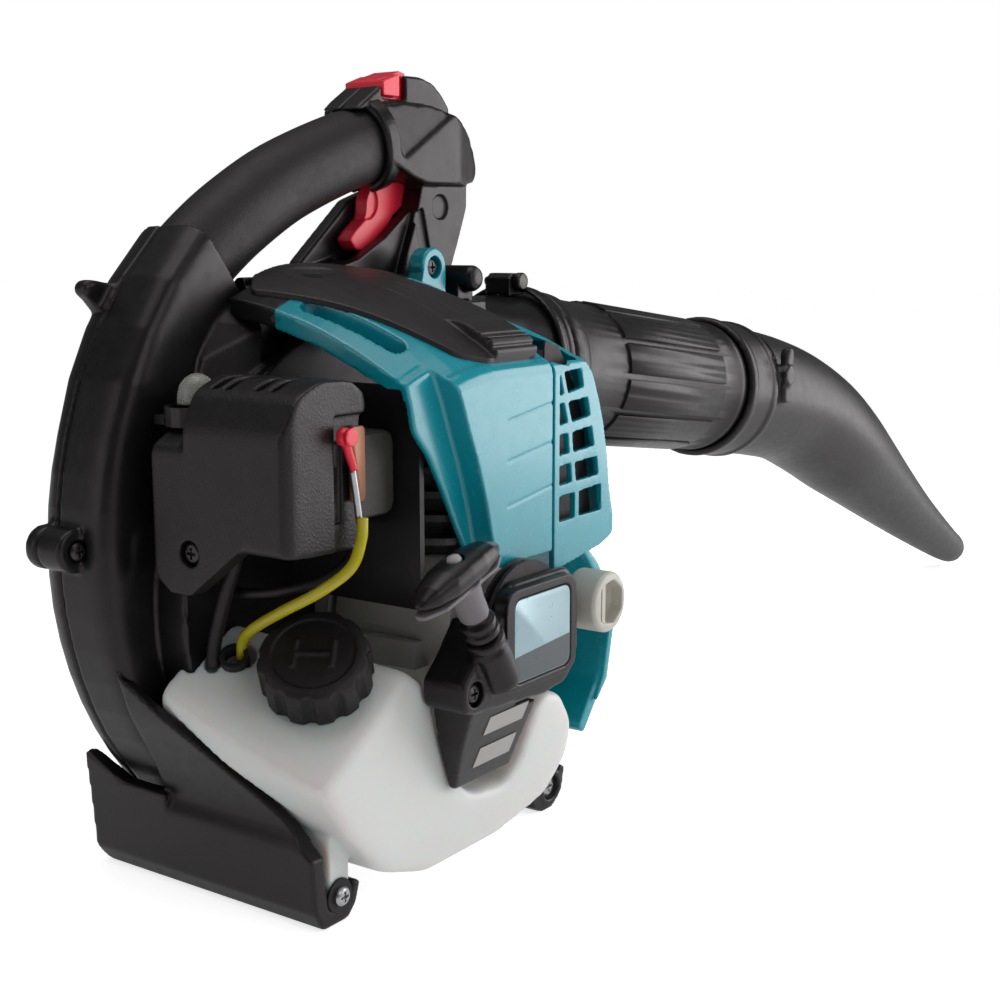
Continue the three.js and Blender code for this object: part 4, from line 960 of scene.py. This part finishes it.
def top_shroud():
    hump = fillet(
        [(-12, 246), (-12, 262), (-15.5, 266), (-20.4, 266), (-21.4, 261.5), (-34, 261), (-49, 258), (-49,
            250)],
        [1, 4, 3, 1, 1, 6, 3, 1],
    )
    block = cut(prism(hump, "X", 60, 170), duct(-0.3), rim(-0.3), grip_skin(GRIP_RADIUS + 1),
                prism(scroll_outline(-0.3), "Y", -52, 30))
    made = cut(block, box(118, 182, -60, 0, 261, 300))
    place("top_shroud_shell", soften(made, 0.8, 2), "housing", "shell_black", "top_shroud")

    x, z = COVER_LUG
    lug = join(
        turned([(9, 0), (10, 1), (10, 9), (9, 10)], v(x, -34.5, z), Y),
        prism(fillet([(x - 14, 250), (x + 9, 252), (x + 9, z), (x - 9, z)], 1), "Y", -34.5, -25),
    )
    lug = cut(lug, bar(v(x, -36, z), v(x, -30, z), 5.6), duct(-CLEARANCE), box(100, 170.4, -36, 0, 200, 300),
              scroll_room())
    place("cover_lug_shell", soften(lug, 0.5, 3), "housing", "teal_cover", "cover_lug")


# ---- recoil starter ----
def skirt_y(z):
    """Depth of the starter skirt's leaning face at a height."""
    return -149 + (86 - z) * 18.5 / 43


def starter_case():
    casing = fillet(
        [(52, 85), (113, 80), (131, 82), (139, 90), (139, 124), (133, 136), (87, 136), (76, 125), (61,
            107), (51, 98)],
        [5, 12, 8, 8, 8, 8, 8, 10, 10, 5],
    )
    shell = soften(prism(casing, "Y", STARTER_FACE, -127.3), 1.3, 6)
    lean = prism([(-127.3, 92), (-149, 92), (-149, 86), (skirt_y(43), 43), (-127.3, 43)], "X", 40, 120)
    side = fillet([(56, 96), (114, 96), (113, 43), (70, 43), (62, 66)], [1, 1, 3, 3, 14])
    skirt = soften(common(lean, prism(side, "Y", -160, -120)), 1.1, 3)
    frame_box = prism(rounded_box(77, 133, 88.5, 134, 9), "Y", STARTER_FACE - 4, STARTER_FACE + 6)
    seat = prism(rounded_box(82.5, 128, 91.5, 130, 6), "Y", STARTER_FACE - 6, STARTER_FACE - 2.4)
    guide_end = ROPE_EXIT + PULL_AXIS * 5
    guide = turned([(8, 0), (8.6, 3), (8.6, 20), (7, 23), (8.8, 24), (8.8, 27), (6.5, 28)],
                   guide_end - PULL_AXIS * 28, PULL_AXIS)
    bore = bar(guide_end - PULL_AXIS * 20, guide_end + PULL_AXIS * 3, 3.2)
    arm = prism(fillet([(68, 92), (84, 90), (88, 132), (74, 122)], 6), "Y", STARTER_FACE - 2, -132)
    x, z = STARTER_SCREW
    well = bar(v(x, STARTER_FACE - 4, z), v(x, STARTER_FACE + 4, z), 5.6)
    hollow = bar(v(CRANK[0], -146, CRANK[1]), v(CRANK[0], -120, CRANK[1]), 36)
    made = cut(join(shell, skirt, frame_box, guide, arm), seat, bore, well, hollow)
    place("starter_shell", soften(made, 0.7, 2, 0.6), "housing", "shell_black", "starter_housing")


def starter_labels():
    plate = prism(rounded_box(83.2, 127.3, 92.2, 129.3, 5.2), "Y", STARTER_FACE - 3.9, STARTER_FACE - 2.6)
    place("badge_plate_face", bevel(plate, 0.4), "housing", "badge_blue", "badge_plate", crease=35)
    lower = prism(fillet([(83.6, 92.6), (127, 92.6), (127, 106.5), (83.6, 104)], [5, 5, 0.5, 0.5]), "Y",
                  STARTER_FACE - 4.05, STARTER_FACE - 3.8)
    place("badge_plate_band", lower, "housing", "badge_dark", slot="badge_blue", crease=35)
    for name, x0, x1, low, high in (("upper", 76, 106, 69, 78), ("lower", 78, 106, 52, 62)):
        corners = ((x0, 0.4), (x1, 0.4), (x1, -0.6), (x0, -0.6))
        label = loft([[v(x, skirt_y(z) - out, z) for x, out in corners] for z in (low, high)])
        place("casing_label_" + name, label, "housing", "label_grey_and_glint", slot="badge_blue", crease=35)


def starter_grip():
    top = ROPE_EXIT + PULL_AXIS * 40.5
    bar_axis = v(0.953, 0, 0.303).normalized()
    up = v(-0.303, 0, 0.953)
    rings = []
    for s, fat in ((-28, 1), (-26, 3), (-20, 6.2), (-10, 8.2), (0, 8.6), (10, 8.2), (20, 6.2), (26, 3),
        (28, 1)):
        centre = top + bar_axis * s - PULL_AXIS * (1.5 * (s / 28) ** 2)
        rings.append(ring(centre, Y, up, fat + 0.6, fat * 0.8, 2.4))
    cup = turned([(4.2, 0), (4.6, 6)], top + up * 4.2, up)
    collars = turned([(6.4, 0), (8.2, 1.5), (8.2, 4), (6.4, 5), (8.0, 6), (8.0, 8.5), (5.4, 10), (5.4, 30)],
                     ROPE_EXIT + PULL_AXIS * 5.4, PULL_AXIS)
    hole = bar(ROPE_EXIT + PULL_AXIS * 3, ROPE_EXIT + PULL_AXIS * 12, 2.6)
    made = join(cut(loft(rings), cup), cut(collars, hole))
    place("starter_grip_handle", soften(made, 0.5, 3, 0.7), "starter_grip", "shell_black", "starter_grip")
    # The stem and its lip are pale grey: partly their own grey, partly a painted highlight along the lip's
    # lower edge.
    stem = turned([(6.2, 0), (6.6, 1), (6.8, 9), (7.6, 16), (8.4, 18)], ROPE_EXIT + PULL_AXIS * 16.5,
        PULL_AXIS)
    outline = [(-28, -2.5), (-18, -7.4), (18, -7.4), (28, -2.5), (28, 2.5), (18, 7.4), (-18, 7.4), (-28, 2.5)]
    lip = prism(fillet(outline, 3), "Z", -0.9, 0.9)
    turn = Matrix((bar_axis, Y, up)).transposed().to_4x4()
    lip.data.transform(Matrix.Translation(top - up * 6.2) @ turn)
    place("starter_grip_stem", soften(join(stem, lip), 0.5, 2, 0.7), "starter_grip", "pale_grey_and_sheen",
        slot="shell_black")
    # The rope knot is pale grey while the rope is black: a painted glint at the grip's centre.
    knot = turned([(1.5, 0), (3.0, 1), (3.4, 2.4), (2.6, 4), (0.6, 4.8)], top + up * 3.4, up, 32)
    place("starter_rope_knot", knot, "starter_grip", "label_grey_and_glint", slot="pull_rope")


def starter_rope():
    inside, outside, radius, rings = 14, 12, 1.8, 60
    rope_start = ROPE_EXIT - PULL_AXIS * inside
    profile = [(radius, (inside + outside) * k / rings) for k in range(rings + 1)]
    rope = turned(profile, rope_start, PULL_AXIS, 16)
    rope = place("starter_rope_cord", rope, None, "pull_rope", "starter_rope")
    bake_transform(rope)


# ---- air cleaner and controls ----
def air_cleaner():
    profile = fillet(
        [(-20, 160), (27, 158), (27, 213), (31, 215.5), (28, 222), (20, 227.5), (2, 228.5), (-12, 223),
         (-20, 208)],
        [5, 3, 3, 2, 4, 8, 16, 14, 14],
    )
    plan = fillet([(-21, -61), (32, -61), (32, -118), (-21, -118)], [5, 5, 7, 8])
    cover = common(prism(profile, "Y", -118, -61), prism(plan, "Z", 150, 240))
    low = prism(fillet([(-20, 160), (17, 158), (17, 200), (-8, 206.5), (-20, 200)], [4, 3, 2, 6, 6]), "Y",
        -64, -43)
    foot = prism(fillet([(-43, 146), (-52, 139), (-63, 139), (-93, 162), (-93, 170), (-43, 170)], 4), "X",
        -20, -9)
    cover = cut(soften(join(cover, low, foot), 1.1, 5), scroll_room())
    slots = []
    for x0, x1, y in (
        (-9, 8, -70), (-9, 8, -77), (11, 24, -70), (-8, 6, -93), (-8, 7, -101), (10, 24, -93), (10, 24, -101),
    ):
        slots.append(prism(rounded_box(x0, x1, y - 2.1, y + 2.1, 1.9), "Z", 214, 240))
    pocket = box(8.5, 15.5, -124, -114, 170, 203)
    overhang = prism([(9, 214), (34, 214), (30, 160), (9, 156)], "Y", -124, -115.6)
    well = bar(v(-24, -64, 157), v(-15.5, -64, 157), 5.6)
    lining = [(-16, 165), (40, 165), (40, 211), (22, 221), (2, 223), (-10, 217), (-16, 206)]
    hollow = prism(lining, "Y", -112, -65)
    made = cut(cover, hollow, pocket, overhang, well, *slots)
    place("air_cleaner_shell", soften(made, 0.6, 2, 0.6), "housing", "box_black", "air_cleaner_cover",
        slot="shell_black")
    plate = prism(rounded_box(18, 26.5, 178, 209, 2.5), "Y", -118.9, -117.3)
    place("control_plate_face", bevel(plate, 0.3), "housing", "bronze_plate", "control_plate", crease=35)
    knob = join(
        turned([(2.6, 0), (3.8, 1), (3.8, 3), (3, 4.5), (4.0, 6.5)], v(11, -119, 206), -Y),
        bar(v(11, -120.9, 206), v(17, -120.9, 192), 2.0, 1.7),
    )
    place("choke_knob", soften(knob, 0.4, 3), "choke_lever", "red_control", "choke_lever")
    rod = tube([(17, -119.9, 192), (18.5, -120, 184), (20, -119.9, 176), (21, -119.9, 170)], 1.5, 6, 14)
    place("choke_rod", rod, "choke_lever", "plain_steel")
    bulb = turned([(8.3, 0), (8.5, 1), (8.2, 4.5), (7.2, 8), (5, 10.8), (2.5, 12.3), (0.4, 12.7)],
                  v(2, -49, 215.6), Z, 48)
    place("primer_bulb_dome", bulb, "primer_bulb", "clear_bulb", "primer_bulb")


# ---- fuel system ----
def above_tank(drop):
    """Everything on the cap's side of the tank's slanted top."""
    a, b = frame_of(CAP_AXIS)
    near = CAP_BASE - CAP_AXIS * drop
    far = near + CAP_AXIS * 200
    return loft([[p + a * 200 + b * 200, p - a * 200 + b * 200, p - a * 200 - b * 200, p + a * 200 - b * 200]
                 for p in (near, far)])


def fuel_tank():
    shape = fillet(
        [(-20, 90), (-18, 110), (-4, 119), (18, 119), (31, 111), (45, 103), (58, 93), (67, 70), (80, 44),
            (92, 34), (116, 32),
         (128, 40), (142, 62), (152, 67), (165, 64), (176, 47), (171, 30), (152, 15), (112, 8), (56, 8),
         (26, 18),
         (4, 42), (-13, 68)],
        [12, 10, 10, 14, 16, 16, 16, 20, 16, 10, 10, 14, 14, 8, 8, 12, 12, 20, 24, 24, 24, 24, 20],
    )
    body = soften(cut(prism(shape, "Y", -126.5, -40), above_tank(-1)), 2.2, 22)
    neck = bar(CAP_BASE - CAP_AXIS * 16, CAP_BASE + CAP_AXIS * 12, 17)
    filler = bar(CAP_BASE - CAP_AXIS * 10, CAP_BASE + CAP_AXIS * 60, 14)
    tab = prism(rounded_box(5.2, 17, 8.8, 40, 3), "Y", -114, -82)
    housing = prism(scroll_outline(-0.3), "Y", RIGHT_FACE - 0.5, 30)
    holes = [
        bar(GROMMET - CAP_AXIS * 8, GROMMET + CAP_AXIS * 20, 6.8),
        bar(v(2, -53, 96), v(2, -53, 130), 3.6),
    ]
    behind = prism([(-60, -20), (5, -20), (5, 10), (1.7, 34), (3.7, 42), (-0.3, 54), (-16.3, 85), (-25,
        112), (-60, 112)],
                   "Y", -140, -20)
    below = prism([(-20, 110), (-31, 101), (-119, 32), (-140, 32), (-140, -20), (-20, -20)], "X", -80, 20)
    cradle = common(behind, below)
    made = cut(join(cut(body, cradle), neck, tab), filler, housing, *holes)
    place("fuel_tank_body", soften(made, 1.0, 2, 0.6), "housing", "tank_white", "fuel_tank")


def fuel_cap():
    radius = CAP_RADIUS
    under = CAP_BASE + CAP_AXIS
    a, b = frame_of(CAP_AXIS)
    body = turned([(radius - 1, 0), (radius, 1), (radius, 15), (radius - 1.2, 17.6), (radius - 3.4, 19),
        (2, 19)],
                  under, CAP_AXIS, 96)
    flutes = []
    for i in range(12):
        turn = 2 * math.pi * i / 12
        foot = under + (a * math.cos(turn) + b * math.sin(turn)) * (radius + 1.6)
        flutes.append(bar(foot - CAP_AXIS * 4, foot + CAP_AXIS * 24, 3.6, sides=24))
    dish = turned([(radius - 6.4, 0), (radius - 6.0, 3)], under + CAP_AXIS * 18.3, CAP_AXIS)
    socket = bar(under - CAP_AXIS * 1, under + CAP_AXIS * 13, 17.8)
    body = cut(body, *flutes, dish, socket)
    ridge = [
        bar(under + CAP_AXIS * 18.2 - a * s * 8 - b * 7, under + CAP_AXIS * 18.2 - a * s * 8 + b * 7, 1.3,
            sides=12)
        for s in (-1, 1)
    ]
    ridge.append(bar(under + CAP_AXIS * 18.2 - a * 8, under + CAP_AXIS * 18.2 + a * 8, 1.3, sides=12))
    place("fuel_cap_body", soften(join(body, *ridge), 0.5, 2, 0.7), "fuel_cap", "black_rubber", "fuel_cap")


def fuel_lines():
    line = tube([(21, -121.5, 172), (20, -121.5, 163), (15, -120, 152), (8.5, -109, 142), (6, -91, 132),
                 (7.5, -73, 122), (10, -63.5, 114.5), (11, -61, 106)], 2.4)
    place("fuel_line_tube", line, "housing", "yellow_line", "fuel_line")
    hose = tube([(0, -72, 157.5), (0, -68, 146), (1, -60, 128), (2, -54, 112), (2, -53, 103)], 3)
    place("return_hose_tube", hose, "housing", "black_rubber", "return_hose")
    loop = tube([(30, -108, 160), (25, -110, 152), (17, -102, 144), (10, -86, 139), (8, -68, 136), (14,
        -54, 134)],
                2.2)
    place("breather_hose", loop, "housing", "black_rubber")


# ---- oil cap and screws ----
def oil_cap():
    knob = turned([(13, 0), (14.5, 1.4), (14.5, 16.6), (13.4, 18), (11, 18.4)], v(157, -139.4, 115), -Y, 80)
    dish = prism(fillet([(148.4, 106.5), (160, 104.4), (167.4, 110), (167.4, 120), (160, 125.6), (148.4,
        123.5)], 3.5),
                 "Y", -160, -151)
    rib = prism(rounded_box(152, 155, 104.5, 125.5, 1.2), "Y", -156, -150)
    made = join(cut(knob, dish), rib)
    place("oil_cap_knob", soften(made, 0.5, 2, 0.7), "oil_cap", "bone_plastic", "oil_cap")


def screw(name, centre, axis, radius, *nodes, look="dark_steel"):
    head = turned([(radius, 0), (radius, 1.6), (radius * 0.8, 2.6), (radius * 0.4, 3)], centre, axis, 40)
    a, b = frame_of(axis.normalized())
    slots = []
    for one, other in ((a, b), (b, a)):
        half, thin = one * radius * 0.55, other * 0.55
        base = centre + axis.normalized() * 1.3
        slots.append(
            loft([[p - half - thin, p + half - thin, p + half + thin, p - half + thin]
                  for p in (base, base + axis.normalized() * 4)])
        )
    place(name, bevel(cut(head, *slots), 0.15, 2), "housing", look, *nodes, slot="plain_steel", crease=35)


def fittings():
    screw("rear_foot_screw_head", v(10.5, -115, 12), -Y, 4.2, "rear_foot_screw", look="plain_steel")
    washer = turned([(7.2, 0), (7.5, 0.3), (7.5, 0.9), (7.2, 1.2)], v(10.5, -114, 12), -Y)
    place("rear_foot_washer", washer, "housing", "dark_plastic", crease=35)
    screw("front_foot_screw_head", v(172, -111, 10.5), -Y, 5.2, "front_foot_screw", look="plain_steel")
    screw("lug_screw_head", v(COVER_LUG[0], -30, COVER_LUG[1]), -Y, 4.6, "lug_screw")
    screw("air_cleaner_screw_head", v(-16, -64, 157), -X, 4.4, "air_cleaner_screw")
    screw("starter_screw_head", v(STARTER_SCREW[0], -146.2, STARTER_SCREW[1]), -Y, 4.4, "starter_screw")
    screw("rear_lug_screw_head", v(REAR_LUG[0], -13.6, REAR_LUG[1]), -Y, 3.8, "rear_lug_screw")
    bolt = join(
        turned([(4, 0), (4.8, 0.8), (4.8, 3.6), (4, 4.6)], v(250, -40.4, 260.5), -Y),
        bar(v(250, -44, 260.5), v(250, -20, 260.5), 2.4),
    )
    place("clamp_bolt_head", bevel(bolt, 0.2, 2), "housing", "dark_steel", "clamp_bolt",
        slot="plain_steel", crease=35)


# ---- stage ----
def light(name, place_mm, aim_mm, size, power):
    lamp = bpy.data.lights.new(name, "AREA")
    lamp.size = size
    lamp.energy = power
    made = bpy.data.objects.new(name, lamp)
    scene.collection.objects.link(made)
    start, aim = TO_ROW @ v(*place_mm), TO_ROW @ v(*aim_mm)
    made.location = start
    made.rotation_euler = (aim - start).to_track_quat("-Z", "Y").to_euler()


def stage():
    floor = bpy.data.objects.new("floor", bpy.data.meshes.new("floor"))
    floor.data.from_pydata([(-9, -9, 0), (9, -9, 0), (9, 9, 0), (-9, 9, 0)], [], [(0, 1, 2, 3)])
    scene.collection.objects.link(floor)
    pale = material(
        "floor_pale", (0.78, 0.78, 0.79), 0.9, blotch=0.01, wear_and_sheen=0.0, Specular_IOR_Level=0.0,
        Emission_Color=(1, 1, 1, 1),
    )
    tree = pale.node_tree
    seen = node(tree, "ShaderNodeLightPath")
    glow = node(tree, "ShaderNodeMapRange", Value=seen.outputs["Is Camera Ray"])
    glow.inputs["To Min"].default_value = 0.30
    glow.inputs["To Max"].default_value = 0.74
    tree.links.new(glow.outputs["Result"], tree.nodes["Principled BSDF"].inputs["Emission Strength"])
    floor.data.materials.append(pale)
    floor.location.z = -0.0005

    world = bpy.data.worlds.new("studio")
    scene.world = world
    world.use_nodes = True
    tree = world.node_tree
    background = tree.nodes["Background"]
    background.inputs["Color"].default_value = (1, 1, 1, 1)
    path = node(tree, "ShaderNodeLightPath")
    level = node(tree, "ShaderNodeMapRange", Value=path.outputs["Is Camera Ray"])
    level.inputs["To Min"].default_value = 0.10
    level.inputs["To Max"].default_value = 1.0
    tree.links.new(level.outputs["Result"], background.inputs["Strength"])

    sky = bpy.data.lights.new("overhead", "SUN")
    sky.energy = 0.75
    sky.angle = math.radians(50)
    overhead = bpy.data.objects.new("overhead", sky)
    scene.collection.objects.link(overhead)
    overhead.rotation_euler = (math.radians(-12), math.radians(-10), 0)

    light("left_box", (-900, 420, 420), (20, 0, 170), 0.6, 1)
    light("key_box", (-150, -1150, 800), (120, -60, 150), 0.8, 3)
    light("front_box", (1100, -820, 380), (200, -60, 180), 1.1, 13)
    light("top_box", (250, -150, 1300), (150, -60, 200), 0.9, 2.5)

    camera = bpy.data.objects.new("camera", bpy.data.cameras.new("camera"))
    scene.collection.objects.link(camera)
    camera.location = TO_ROW @ v(*CAMERA["place"])
    camera.rotation_euler = (math.radians(90 + CAMERA["pitch"]), 0, math.radians(CAMERA["yaw"] - 90))
    camera.data.sensor_width = 36
    camera.data.lens = CAMERA["lens"]
    scene.camera = camera
    scene.view_settings.view_transform = "Standard"


stage()
dress_cad_nodes()
fan_housing()
feet()
handle()
trigger_and_switch()
blower_pipe()
nozzle()
clamp()
engine_cover()
plug_cover()
grille_cover()
lower_guard()
top_shroud()
starter_case()
starter_labels()
starter_grip()
starter_rope()
air_cleaner()
fuel_tank()
fuel_cap()
fuel_lines()
oil_cap()
fittings()
